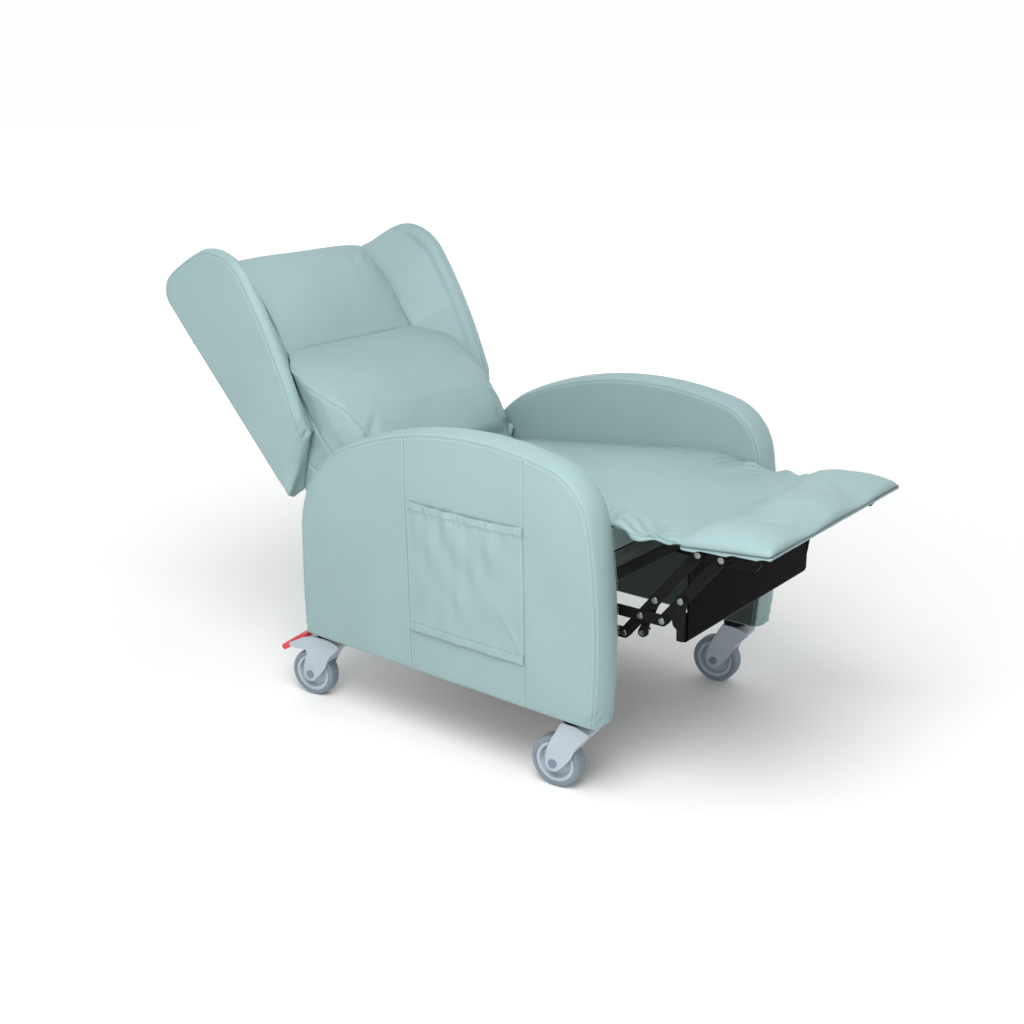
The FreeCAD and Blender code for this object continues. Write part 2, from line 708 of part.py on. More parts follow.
def make_guard():
    """Black board that closes the gap under the leg rest, and the brackets that hold it."""
    front, rear = -size("guard_front"), -size("guard_front") + size("guard_depth")
    half, wall = size("guard_half"), size("guard_wall") + 1.2
    feature("guard_board", side_solid(guard_profile(), -half, 2 * half))
    bolt, pivot = PIVOT["guard"], PIVOT["foot"]
    low = size("guard_bottom") + wall + 0.8
    outline = polygon([
        (bolt.x - 11, bolt.y - 3), (bolt.x - 9, bolt.y + 7), (bolt.x, bolt.y + 11), (bolt.x + 9, bolt.y + 7),
        (bolt.x + 11, bolt.y - 2), (pivot.x - 20, pivot.y + 5), (pivot.x - 22, pivot.y - 3),
        (rear - wall, low + 20), (rear - wall, low), (front + wall, low), (front + wall, low + 28),
    ])
    thickness, inset, rise = size("plate_thickness"), 14.0, size("guard_tab")
    solids = []
    for _, side in SIDES:
        x = outward(side, layer(1), thickness)
        bracket = side_solid(outline, x, thickness)
        bracket = bracket.cut(cylinder_x(size("rivet_radius") + size("running_gap"), x - 1,
                                         thickness + 2, bolt))
        reach = layer(1) - half + inset
        tab = Part.makeBox(reach, size("guard_depth") - 2 * wall, rise,
                           Vector(outward(side, half - inset, reach), front + wall, low))
        solids.append(bracket.fuse(tab).removeSplitter())
    feature("guard_brackets", Part.makeCompound(solids))
    rivet_group("guard_bolts", [(layer(2), layer(1) + thickness, bolt)])


# Leg rest


def leg_frame():
    """The leg rest's own axes: at the long link's upper pivot, raised at the front."""
    return Vector(0, PIVOT["leg"].x, PIVOT["leg"].y), Rotation(Vector(1, 0, 0), -size("leg_tilt"))


def leg_local(point):
    """A side-plane point in the leg rest's own axes."""
    base, turn = leg_frame()
    local = turn.inverted().multVec(Vector(0, point.x, point.y) - base)
    return Vector(local.y, local.z, 0)


def leg_section(crown):
    """Side outline of the leg rest pad where its middle stands crown above its sides."""
    foot, front, rear = size("leg_foot"), -size("leg_front"), size("leg_rear")
    edge = foot + size("leg_edge")
    nose = (front, foot + size("leg_front_edge") + 0.8 * crown)
    crest = (front * 0.45, edge + crown)
    end = (rear, edge - 1 + 0.45 * crown)
    return [
        ((rear, foot), (front, foot)), ((front, foot), (front - 2.5, (foot + nose[1]) / 2), nose),
        (nose, (front * 0.74, edge - 2 + 0.97 * crown), crest),
        (crest, (front * 0.12, edge + 0.5 + 0.9 * crown), end), (end, (rear, foot)),
    ]


def make_leg_rest():
    base, turn = leg_frame()
    half, foot, border = size("leg_half"), size("leg_foot"), size("leg_border")
    length = size("leg_front") + size("leg_rear") - 2 * border
    crown = size("leg_crown")
    steps = ((-1, 0), (-0.94, 0.6), (-0.8, 0.95), (0, 1), (0.8, 0.95), (0.94, 0.6), (1, 0))
    pad = side_loft([(s * half, leg_section(c * crown)) for s, c in steps])
    room = Part.makeBox(2 * (half - border), length, size("leg_board_thickness"),
                        Vector(-half + border, border - size("leg_front"), foot))
    feature("leg_rest_pad", pad.cut(room), base, turn)
    board = doc.addObject("Part::Box", "leg_rest_board")
    bind(board, Length="2 * (Sizes.leg_half - Sizes.leg_border - Sizes.soft_gap)",
         Width="Sizes.leg_front + Sizes.leg_rear - 2 * (Sizes.leg_border + Sizes.soft_gap)",
         Height="Sizes.leg_board_thickness - Sizes.soft_gap")
    gap = size("soft_gap")
    corner = Vector(-half + border + gap, border + gap - size("leg_front"), foot)
    board.Placement = Placement(base + turn.multVec(corner), turn)
    keep(board, "leg_rest_board")
    make_leg_brackets(base, turn)
    make_flap()


def make_leg_brackets(base, turn):
    top, low, thickness = size("leg_foot"), -size("leg_bracket_drop"), size("plate_thickness")
    front, rear = -size("leg_bracket_front"), size("leg_bracket_rear")
    pivots = [leg_local(PIVOT["leg"]), leg_local(PIVOT["leg_front"])]
    outline = polygon([(rear, top), (rear, -6), (4, -11), (pivots[1].x, low + 2), (front + 9, low),
                       (front, low + 10), (front, top)])
    spare = [Vector(front + 11, -6.6, 0), Vector(front + 56, -6.6, 0)]
    solids = []
    for _, side in SIDES:
        x = outward(side, layer(3), thickness)
        bar = side_solid(outline, x, thickness)
        for points, radius in ((pivots, size("rivet_radius") + size("running_gap")), (spare, 3)):
            bar = bar.cut([cylinder_x(radius, x - 1, thickness + 2, point) for point in points])
        flange = size("leg_flange")
        inner = outward(side, layer(3) + thickness - flange, flange)
        foot = Part.makeBox(flange, rear - front, 3, Vector(inner, front, top - 3))
        solids.append(bar.fuse(foot).removeSplitter())
    feature("leg_rest_brackets", Part.makeCompound(solids), base, turn)


def make_flap():
    """Padded flap between the seat's front edge and the leg rest."""
    base, turn = leg_frame()
    thickness, sag, gap = size("flap_thickness"), size("flap_sag"), size("soft_gap")
    edge = size("leg_foot") + size("leg_edge")
    end = base + turn.multVec(Vector(0, size("leg_rear") + gap, edge - 1))
    rear, top = size("deck_front") - gap, size("flap_rise")
    middle = (rear + end.y) / 2
    outline = [
        ((rear, top), (middle, (top + end.z) / 2 - sag), (end.y, end.z)),
        ((end.y, end.z), (end.y, end.z - thickness)),
        ((end.y, end.z - thickness), (middle, (top + end.z) / 2 - sag - thickness), (rear, top - thickness)),
        ((rear, top - thickness), (rear, top)),
    ]
    half = size("flap_half")
    feature("leg_rest_flap", side_solid(outline, -half, 2 * half))


# Backrest, in its own axes: y to the rear of the hinge line, z up along the back


def back_frame_axes():
    back = PIVOT["back"]
    return Vector(0, back.x, back.y), Rotation(Vector(1, 0, 0), -size("recline"))


def wing_outline(grow=0.0):
    points = [
        (size("wing_rear"), size("wing_foot")),
        (size("wing_rear") - size("wing_taper"), size("wing_rear_top")),
        (size("wing_peak_rear"), size("wing_peak")),
        (-size("wing_brow_front"), size("wing_brow")),
        (-size("wing_nose_front"), size("wing_nose")),
        (-size("wing_tip_front"), size("wing_tip")),
    ]
    return closed(tangent_outline(points, grow))


def wing_front(height):
    """The wing's front edge at a height along the back."""
    probe = Part.LineSegment(Vector(0, -400, height), Vector(0, 0, height)).toShape()
    return side_wire(wing_outline()).distToShape(probe)[1][0][0].y


def bolster(grow=0.0):
    """Wedge of padding between a wing and the cushions, on the +X side."""
    tip, seam, brow = size("wing_tip"), size("lumbar_top"), size("wing_brow")
    outer, head = size("wing_inner"), size("head_half") + 2 * size("soft_gap")
    lumbar = size("lumbar_half") + 5
    heights = (tip + 8, (tip + seam) / 2, seam, (seam + brow) / 2, brow - 30, brow - 6)
    inner = (lumbar, (lumbar + head) / 2 + 12, head, head, head, head)
    back, face = size("cushion_back"), size("seam_depth")
    wires = []
    for height, x in zip(heights, inner):
        front = min(wing_front(height) + size("bolster_back"), -face - 6)
        section = [(outer, front - grow), (outer, back), (x - grow, back), (x - grow, -face + 4 - grow)]
        points = [Vector(a, b, height) for a, b in section]
        wires.append(Part.makePolygon(points + points[:1]))
    return Part.makeLoft(wires, True, True)


def make_wings():
    base, turn = back_frame_axes()
    inner, thickness = size("wing_inner"), size("wing_thickness")
    steps = ((0, -1), (0.2, -0.4), (0.5, 0), (0.8, -0.2), (1, -0.56))
    slab = side_loft([(inner + a * thickness, wing_outline(b * size("wing_round"))) for a, b in steps])
    wing = slab.fuse(bolster())
    mirror = wing.mirror(Vector(), Vector(1, 0, 0))
    for (name, side), shape in zip(SIDES, (mirror, wing)):
        feature("wing_" + name, shape, base, turn)


def lumbar_section(draw):
    """Side outline of the lumbar cushion; draw is how far its front is drawn in."""
    back, top, radius = size("cushion_back"), size("lumbar_top"), size("back_radius")
    seam, crest = size("seam_depth") - draw / 2, size("lumbar_bulge") - draw
    lip = (-radius * 0.93, radius * 0.3676)
    brow, belly, toe = (-seam, top), (-crest, top * 0.4), (8 - crest, top * 0.105)
    k = radius * math.sqrt(0.5)
    return [
        (brow, (-crest * 0.71, top * 0.755), belly), (belly, (-crest - 1, top * 0.23), toe),
        (toe, (-radius - (crest - radius) * 0.42, top * 0.068), lip),
        (lip, (-k, -k), (0, -radius)),
        ((0, -radius), (back, -radius)), ((back, -radius), (back, top)), ((back, top), brow),
    ]


def head_section(draw):
    back, top, foot = size("cushion_back"), size("head_top"), size("lumbar_top") + size("soft_gap")
    seam, face = size("seam_depth") - draw / 2, size("head_bulge") - draw
    brow = top - 16
    return [
        ((-seam, foot), (-face, (foot + brow) / 2), (-face + 4, brow)),
        ((-face + 4, brow), (-face + 18, top - 3), (back - 8, top)),
        ((back - 8, top), (back, top)), ((back, top), (back, foot)), ((back, foot), (-seam, foot)),
    ]


def crowned(half, crown, section):
    steps = ((-1, 1), (-0.8, 0.25), (0, 0), (0.8, 0.25), (1, 1))
    return side_loft([(s * half, section(d * crown)) for s, d in steps])


def make_back_cushions():
    base, turn = back_frame_axes()
    lumbar = crowned(size("lumbar_half"), size("lumbar_crown"), lumbar_section)
    wedge = bolster(2 * size("soft_gap"))
    lumbar = lumbar.cut([wedge, wedge.mirror(Vector(), Vector(1, 0, 0))])
    feature("lumbar_cushion", lumbar, base, turn)
    head = crowned(size("head_half"), size("head_crown"), head_section)
    feature("head_cushion", head, base, turn)


def make_back_frame():
    base, turn = back_frame_axes()
    width, depth, outer = size("frame_width"), size("frame_depth"), size("frame_outer")
    foot, top = -size("frame_foot"), size("frame_top")
    face = size("cushion_back") + size("soft_gap")
    solids = [Part.makeBox(width, depth, top - foot, Vector(x, face, foot)) for x in (-outer, outer - width)]
    inside = 2 * (outer - width)
    for height in (foot, size("lumbar_top") - width / 2, top - width):
        solids.append(Part.makeBox(inside, depth, width, Vector(-inside / 2, face, height)))
    recess = size("hinge_pin_radius") + 6
    for i, side in ((0, -1), (1, 1)):
        solids[i] = solids[i].cut(cylinder_x(recess, outward(side, outer - 3, 4), 4, Vector()))
    feature("back_frame", Part.makeCompound(solids), base, turn)


def panel_section(crown):
    face = size("cushion_back") + size("frame_depth") + 2 * size("soft_gap")
    foot, top = size("panel_foot"), size("wing_rear_top")
    low = size("wing_rear") - size("panel_inset") + crown
    high = low - size("wing_taper")
    return [
        ((face, foot), (face, top + 8)),
        ((face, top + 8), ((face + high) / 2 + 6, top + 7), (high, top - 10)),
        ((high, top - 10), (low, foot + 30)),
        ((low, foot + 30), ((face + low) / 2 + 14, foot + 4), (face, foot)),
    ]


def make_rear_panel():
    base, turn = back_frame_axes()
    half, crown = size("panel_half"), size("panel_crown")
    sections = [(s * half, panel_section(c)) for s, c in ((-1, 0), (0, crown), (1, 0))]
    feature("back_rear_panel", side_loft(sections), base, turn)


def make_back_hinges():
    base, turn = back_frame_axes()
    thickness, gap = size("plate_thickness"), size("running_gap")
    pin, top = size("hinge_pin_radius"), size("hinge_bracket_top")
    far = size("cushion_back") + size("frame_depth")
    outline = polygon([(-12, -10), (-4, -15), (far, -15), (far, top), (far - 26, top), (-12, 14)])
    inner = size("frame_outer") + size("soft_gap")
    brackets, pins = [], []
    for _, side in SIDES:
        x = outward(side, inner, thickness)
        hole = cylinder_x(pin + gap, x - 1, thickness + 2, Vector())
        brackets.append(side_solid(outline, x, thickness).cut(hole))
        face = size("arm_inner") - size("running_gap")
        reach = face - inner + gap
        shaft = cylinder_x(pin, outward(side, inner - gap, reach), reach, PIVOT["back"])
        flange = cylinder_x(size("hinge_flange_radius"), outward(side, face - 3, 3), 3, PIVOT["back"])
        pins.append(shaft.fuse(flange).removeSplitter())
    feature("back_hinge_brackets", Part.makeCompound(brackets), base, turn)
    return pins


def make_root_fasteners(pins):
    feature("plate_bolts", Part.makeCompound(make_plate_bolts()))
    feature("back_hinge_pins", Part.makeCompound(pins))


# Casters, in their own axes: origin on the floor under the swivel axis, wheel to the rear


def fork_outline(braked):
    """Side outline of a fork, from its foot up the rear edge, over the top and down the front."""
    hub = Vector(size("trail"), size("wheel_radius"), 0)
    boss, top = size("hub_boss"), size("fork_top")
    pin = Vector(size("pedal_pin_back"), size("pedal_pin_height"), 0)
    rear_side, shoulder = (hub.x + boss * 0.96, hub.y + boss * 0.28), (hub.x + 6, top - 44)
    front_side, bend = (hub.x - boss * 0.72, hub.y - boss * 0.69), (0, hub.y + 20)
    crown, brow, chin = (16, top), (-32, top - 9.5), (-33.5, top - 20)
    if braked:
        rear = polygon([shoulder, pair(pin + Vector(-4, -20, 0)), pair(pin + Vector(36, -19.5, 0)),
                        pair(pin + Vector(38, -11.5, 0)), pair(pin + Vector(2, 6.5, 0)),
                        pair(pin + Vector(-20, 12.5, 0)), crown])[:-1]
    else:
        corner = (hub.x - 16.5, top - 3)
        rear = [(shoulder, corner), (corner, (19.5, top - 0.8), crown)]
    neck, throat = (-22.5, top - 31.5), (-6.5, top - 53)
    return (
        [(rear_side, (hub.x + 12.8, hub.y + 24), shoulder)] + rear
        + [(crown, (2, top)), ((2, top), (-17, top - 3.6), brow), (brow, (-36, top - 14.5), chin),
           (chin, neck), (neck, (-12.5, top - 42), throat), (throat, bend),
           (bend, (hub.x - 27, hub.y + 5), front_side),
           (front_side, (hub.x, hub.y - boss), rear_side)]
    )


def make_fork(braked):
    half, room = size("fork_half"), size("fork_half") - size("fork_cheek")
    hub = Vector(size("trail"), size("wheel_radius"), 0)
    fork = side_solid(fork_outline(braked), -half, 2 * half)
    cuts = [
        cylinder_x(size("wheel_room"), -room, 2 * room, hub),
        cylinder_x(size("axle_radius") + size("running_gap"), -half - 1, 2 * half + 2, hub),
        Part.makeCylinder(size("stem_radius") + size("running_gap"), size("stem_length") + 1,
                          Vector(0, 0, size("fork_top") - size("stem_length") - 1)),
    ]
    if braked:
        pin = Vector(size("pedal_pin_back"), size("pedal_pin_height"), 0)
        cuts.append(cylinder_x(size("pedal_pin_radius") + size("running_gap"), -half - 1, 2 * half + 2, pin))
        cuts.append(Part.makeBox(2 * room, 80, 60, Vector(-room, pin.x - 15, pin.y - 22)))
    return fork.cut(cuts)


def make_pedal():
    """Brake lever with its two trunnions."""
    half, pin = size("pedal_half"), Vector(size("pedal_pin_back"), size("pedal_pin_height"), 0)
    outline = polygon([
        pair(pin + Vector(-9, 2, 0)), pair(pin + Vector(-2, -6, 0)), pair(pin + Vector(8, -5, 0)),
        pair(pin + Vector(54, -33, 0)), pair(pin + Vector(61, -29, 0)), pair(pin + Vector(60, -22, 0)),
        pair(pin + Vector(10, 11, 0)), pair(pin + Vector(0, 12, 0)),
    ])
    lever = side_solid(outline, -half, 2 * half)
    reach = size("fork_half")
    trunnion = cylinder_x(size("pedal_pin_radius"), -reach, 2 * reach, pin)
    return lever.fuse(trunnion).removeSplitter()


def make_axle():
    hub = Vector(size("trail"), size("wheel_radius"), 0)
    half, cap = size("fork_half"), size("axle_cap")
    axle = cylinder_x(size("axle_radius"), -half, 2 * half, hub)
    caps = [cylinder_x(size("axle_cap_radius"), x, cap, hub) for x in (-half - cap, half)]
    return axle.fuse(caps).removeSplitter()


def revolved(label, outline, base, turn):
    """Body turned about its own X axis from a half outline: (across, radius)."""
    body = new_body(label)
    sketch = new_sketch(body, "XY_Plane", label + "_profile")
    sketch_outline(sketch, outline)
    solid = body.newObject("PartDesign::Revolution", label + "_turned")
    solid.Profile = sketch
    solid.ReferenceAxis = (sketch, ["H_Axis"])
    solid.Angle = 360
    body.Placement = Placement(base, turn)


def wheel_outlines():
    radius, half, depth = size("wheel_radius"), size("tyre_width") / 2, size("tyre_depth")
    seat = radius - depth
    hub = size("fork_half") - size("fork_cheek") - 0.6
    bore = size("axle_radius") + size("running_gap")
    tread, shoulder = half * 0.55, radius - 5
    tyre = [
        ((-half, seat), (half, seat)), ((half, seat), (half, shoulder)),
        ((half, shoulder), (half - 2, radius - 1.8), (tread, radius)),
        ((tread, radius), (-tread, radius)),
        ((-tread, radius), (2 - half, radius - 1.8), (-half, shoulder)),
        ((-half, shoulder), (-half, seat)),
    ]
    lip = half - 2
    right = [(hub, bore), (hub, 11), (5, 13), (3, seat - 10), (lip, seat - 7), (lip, seat)]
    left = [(-a, b) for a, b in reversed(right)]
    return tyre, polygon(right + left)


def make_casters():
    tyre, rim = wheel_outlines()
    heads = []
    places = (("front", size("caster_front"), size("front_swivel"), False),
              ("rear", size("caster_rear"), size("rear_swivel"), True))
    for end, y, angle, braked in places:
        turn = Rotation(Vector(0, 0, 1), angle)
        fork, axle = make_fork(braked), make_axle()
        for name, side in SIDES:
            base = Vector(side * size("caster_half"), y, 0)
            tag = "_%s_%s" % (end, name)
            feature("caster_fork" + tag, fork, base, turn)
            feature("caster_axle" + tag, axle, base, turn)
            hub = base + turn.multVec(Vector(0, size("trail"), size("wheel_radius")))
            revolved("caster_tyre" + tag, tyre, hub, turn)
            revolved("caster_rim" + tag, rim, hub, turn)
            if braked:
                feature("brake_pedal" + tag, make_pedal(), base, turn)
            heads.append(caster_head(base))
    feature("caster_heads", Part.makeCompound(heads))


def caster_head(base):
    """Black swivel head under the arm, with the stem that the fork turns on."""
    foot = size("fork_top") + 0.5
    height = size("arm_bottom") - size("soft_gap") - foot
    disc = Part.makeCylinder(size("head_radius"), height, base + Vector(0, 0, foot))
    low = size("fork_top") - size("stem_length")
    stem = Part.makeCylinder(size("stem_radius"), foot - low, base + Vector(0, 0, low))
    return disc.fuse(stem).removeSplitter()


def write_parts():
    os.makedirs("parts", exist_ok=True)
    doc.recompute()
    for obj in doc.Objects:
        if "Invalid" in obj.State or "Error" in obj.State:
            raise RuntimeError("%s failed: %s" % (obj.Label, obj.State))
    for obj in subparts:
        if obj.Shape.isNull() or not obj.Shape.isValid() or not obj.Shape.Solids:
            raise RuntimeError("%s has no valid solid" % obj.Label)
    for obj in subparts:
        obj.Shape.exportStep(os.path.join("parts", obj.Label + ".step"))


make_arms()
make_magazine_pocket()
make_seat()
make_tubes()
make_side_plates()
make_links()
make_guard()
make_leg_rest()
make_wings()
make_back_cushions()
make_back_frame()
make_rear_panel()
make_root_fasteners(make_back_hinges())
make_casters()
write_parts()
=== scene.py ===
import math

import bmesh
import bpy
import numpy as np
from mathutils import Matrix, Vector
from mathutils.bvhtree import BVHTree
from mathutils.kdtree import KDTree


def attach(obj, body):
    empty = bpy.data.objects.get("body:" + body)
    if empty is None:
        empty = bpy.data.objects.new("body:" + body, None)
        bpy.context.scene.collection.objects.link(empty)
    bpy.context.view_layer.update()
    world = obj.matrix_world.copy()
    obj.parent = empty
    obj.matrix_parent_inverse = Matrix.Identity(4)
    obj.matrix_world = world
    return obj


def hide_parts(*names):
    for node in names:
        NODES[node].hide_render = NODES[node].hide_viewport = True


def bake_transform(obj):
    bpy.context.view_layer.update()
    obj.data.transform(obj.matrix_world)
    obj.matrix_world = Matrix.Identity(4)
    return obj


bl_info = {
    "name": "Reclining armchair",
    "version": (1, 0, 0),
    "blender": (4, 5, 0),
    "location": "View3D > Sidebar > Recliner",
    "description": "Covers, seams, finishes and stage of a reclining armchair on casters",
    "category": "Add Mesh",
}

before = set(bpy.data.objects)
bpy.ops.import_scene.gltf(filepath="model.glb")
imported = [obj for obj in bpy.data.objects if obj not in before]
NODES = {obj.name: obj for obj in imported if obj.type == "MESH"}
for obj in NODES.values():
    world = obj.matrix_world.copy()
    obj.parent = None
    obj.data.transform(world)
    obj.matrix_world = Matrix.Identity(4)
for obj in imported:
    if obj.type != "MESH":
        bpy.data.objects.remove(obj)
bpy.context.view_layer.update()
SIDES = (("right", -1), ("left", 1))
CORNERS = ("front_right", "front_left", "rear_right", "rear_left")


# Settings

def colour(name, description, value):
    return bpy.props.FloatVectorProperty(name=name, description=description, default=value,
                                         subtype="COLOR", min=0, max=1)


def length(name, description, value):
    return bpy.props.FloatProperty(name=name, description=description, default=value,
                                   unit="LENGTH", precision=4, min=0)


def number(name, description, value):
    return bpy.props.FloatProperty(name=name, description=description, default=value, min=0)


class ReclinerColours(bpy.types.PropertyGroup):
    """Colours of the chair's finishes, and of the painted shade in its seams and folds."""
    leather: colour("Leather", "Upholstery leather", (0.252, 0.361, 0.366))
    # The colour that seams and folds are painted, as painted shade in their hollows.
    painted_shade: colour("Crease", "Leather deep in a seam or fold", (0.073, 0.134, 0.138))
    thread: colour("Thread", "Stitching", (0.46, 0.60, 0.60))
    piping: colour("Piping", "Cord round the leg rest's edge", (0.045, 0.085, 0.088))
    lining: colour("Lining", "Cloth on the seat rails", (0.060, 0.090, 0.084))
    steel: colour("Steel", "Black powder coat on the links and tubes", (0.0095, 0.0093, 0.0100))
    zinc: colour("Zinc", "Plating of the rivets and bolts", (0.24, 0.27, 0.28))
    board: colour("Board", "Glossy black guard board", (0.0018, 0.0018, 0.0020))
    wood: colour("Wood", "Frame timber", (0.50, 0.34, 0.19))
    webbing: colour("Webbing", "Seat straps", (0.030, 0.030, 0.034))
    housing: colour("Housing", "Caster forks", (0.385, 0.445, 0.50))
    rim: colour("Rim", "Caster rims", (0.385, 0.45, 0.50))
    tyre: colour("Tyre", "Caster tyres", (0.175, 0.220, 0.265))
    cap: colour("Cap", "Axle caps", (0.15, 0.20, 0.255))
    pedal: colour("Pedal", "Brake pedals", (0.60, 0.045, 0.045))
    floor: colour("Floor", "Floor", (0.86, 0.86, 0.855))


class ReclinerPadding(bpy.types.PropertyGroup):
    """Sizes of the padding, its seams and its stitching."""
    cell: length("Cell", "Mesh size of the padded pieces", 0.005)
    fine_cell: length("Fine cell", "Mesh size of the arms and wings", 0.004)
    pressure: number("Pressure", "Air pressure that fills the cushions", 4.0)
    swell: length("Swell", "Most that a cushion's cover may move while it fills", 0.022)
    slack: length("Slack", "How much smaller a cushion starts before it fills", 0.004)
    seam_depth: length("Seam depth", "Depth of a seam's groove", 0.0013)
    seam_width: length("Seam width", "Half width of a seam's groove", 0.0042)
    row_gap: length("Row gap", "Seam to each row of stitches", 0.0042)
    stitch: length("Stitch", "Length of one stitch", 0.0042)
    pitch: length("Pitch", "Stitch to stitch", 0.0056)
    thread: length("Thread", "Thickness of the thread", 0.0009)
    piping: length("Piping", "Radius of the leg rest's piping", 0.0008)


class ReclinerSettings(bpy.types.PropertyGroup):
    """All settings of the chair's looks."""
    colours: bpy.props.PointerProperty(type=ReclinerColours, name="Colours", description="Colours")
    padding: bpy.props.PointerProperty(type=ReclinerPadding, name="Padding", description="Padding")
    lens: bpy.props.FloatProperty(name="Lens", description="Camera's focal length in millimetres",
                                  default=46.47, min=1)
    key: bpy.props.FloatProperty(name="Key light", description="Power of the large front light",
                                 default=6.8, min=0, unit="POWER")
    fill: bpy.props.FloatProperty(name="Fill light", description="Power of the light above",
                                  default=52.0, min=0, unit="POWER")
    sky: bpy.props.FloatProperty(name="Sky", description="Strength of the even light all round",
                                 default=1.0, min=0)


def settings():
    return bpy.context.scene.recliner


# Materials

def node(tree, kind, options=(), **inputs):
    """Adds a node. An input is a socket to link or a value; its name has _ for a space."""
    made = tree.nodes.new(kind)
    for key, value in dict(options).items():
        setattr(made, key, value)
    for key, value in inputs.items():
        socket = made.inputs[int(key[1:])] if key[1:].isdigit() else made.inputs[key.replace("_", " ")]
        if isinstance(value, bpy.types.NodeSocket):
            tree.links.new(value, socket)
        else:
            socket.default_value = value
    return made


def start_material(name, **inputs):
    material = bpy.data.materials.new(name)
    material.use_nodes = True
    tree = material.node_tree
    tree.nodes.clear()
    surface = node(tree, "ShaderNodeBsdfPrincipled", **inputs)
    node(tree, "ShaderNodeOutputMaterial", Surface=surface.outputs[0])
    return material, tree, surface


def place(tree, **scale):
    """Object coordinates, with any of x, y and z scaled."""
    spot = node(tree, "ShaderNodeTexCoord").outputs["Object"]
    if not scale:
        return spot
    size = tuple(scale.get(k, 1.0) for k in "xyz")
    return node(tree, "ShaderNodeMapping", Vector=spot, Scale=size).outputs[0]


def noise(tree, size, detail=2.0, spot=None, rough=0.5):
    return node(tree, "ShaderNodeTexNoise", Vector=spot or place(tree), Scale=1 / size,
                Detail=detail, Roughness=rough).outputs["Fac"]


def spread(tree, value, low, high, floor=0.0, top=1.0):
    """Maps low…high of a value to floor…top, and holds it there."""
    return node(tree, "ShaderNodeMapRange", Value=value, From_Min=low, From_Max=high,
                To_Min=floor, To_Max=top).outputs[0]


def maths(tree, operation, *values):
    inputs = {"i%d" % i: v for i, v in enumerate(values)}
    return node(tree, "ShaderNodeMath", {"operation": operation}, **inputs).outputs[0]


def mixed(tree, share, first, second):
    made = node(tree, "ShaderNodeMix", {"data_type": "RGBA"})
    for index, value in ((0, share), (6, first), (7, second)):
        if isinstance(value, bpy.types.NodeSocket):
            tree.links.new(value, made.inputs[index])
        else:
            made.inputs[index].default_value = value if index == 0 else rgba(value)
    return made.outputs[2]


def rgba(value, scale=1.0):
    return tuple(min(c * scale, 1.0) for c in tuple(value)[:3]) + (1.0,)


def bumped(tree, surface, *layers, edge=0.0):
    """Stacks bumps: each layer is a height socket and its depth in metres. With edge, sharp
    edges look rounded by that radius."""
    normal = node(tree, "ShaderNodeBevel", Radius=edge).outputs[0] if edge else None
    for height, depth in layers:
        bump = node(tree, "ShaderNodeBump", Height=height, Distance=depth, Strength=1.0)
        if normal:
            tree.links.new(normal, bump.inputs["Normal"])
        normal = bump.outputs[0]
    tree.links.new(normal, surface.inputs["Normal"])


def attribute(tree, name):
    return node(tree, "ShaderNodeAttribute", {"attribute_name": name}).outputs["Fac"]


def leather(name, base, painted_shade):
    """Soft coated leather: pebbled grain, faint clouding, painted shade as sharp dark lines where seams run
    with a softer band beside them and in folds, and painted shade under the seat.
    """
    material, tree, surface = start_material(name, Specular_IOR_Level=0.34)
    across = maths(tree, "ABSOLUTE", attribute(tree, "seam_across"))
    near = spread(tree, attribute(tree, "seam_away"), 0.004, 0.007, 1.0, 0.0)
    # Painted shade on each seam: a sharp dark line on it and a faint dark band beside it.
    line = maths(tree, "MULTIPLY", spread(tree, across, 0.0002, 0.0008, 1.0, 0.0), near)
    shade = maths(tree, "MULTIPLY", spread(tree, across, 0.0006, 0.0036, 0.06, 0.0), near)
    line = maths(tree, "MULTIPLY", line, attribute(tree, "seam_shade_strength"))
    # All painted shade of seams and folds, which mixes the leather towards the shade colour.
    dark = maths(tree, "MAXIMUM", maths(tree, "MAXIMUM", line, shade), attribute(tree, "painted_shade"))
    cloud = spread(tree, noise(tree, 0.16, 3.0), 0.35, 0.65)
    speck = spread(tree, noise(tree, 0.006, 3.0), 0.3, 0.7)
    tone = mixed(tree, cloud, rgba(base, 0.975), rgba(base, 1.03))
    tone = mixed(tree, maths(tree, "MULTIPLY", speck, 0.12), tone, rgba(base, 0.88))
    # Painted shade: the seat's underside and the arms' inner faces below the seat turn a dark colour.
    tone = mixed(tree, attribute(tree, "painted_underside_shade"), tone, rgba((0.030, 0.050, 0.048)))
    tree.links.new(mixed(tree, dark, tone, rgba(painted_shade)), surface.inputs["Base Color"])
    patch = noise(tree, 0.05, 2.0)
    tree.links.new(spread(tree, patch, 0.3, 0.7, 0.46, 0.56), surface.inputs["Roughness"])
    cells = node(tree, "ShaderNodeTexVoronoi", {"feature": "DISTANCE_TO_EDGE"},
                 Vector=place(tree), Scale=780.0, Randomness=1.0).outputs["Distance"]
    pebble = spread(tree, cells, 0.0, 0.28)
    groove = spread(tree, across, 0.0, 0.0020, 0.0, 1.0)
    groove = maths(tree, "MAXIMUM", groove, maths(tree, "SUBTRACT", 1.0, near))
    bumped(tree, surface, (groove, 0.0005), (noise(tree, 0.030, 2.0), 0.0005),
           (pebble, 0.00007), (noise(tree, 0.0007, 2.0), 0.00005))
    return material


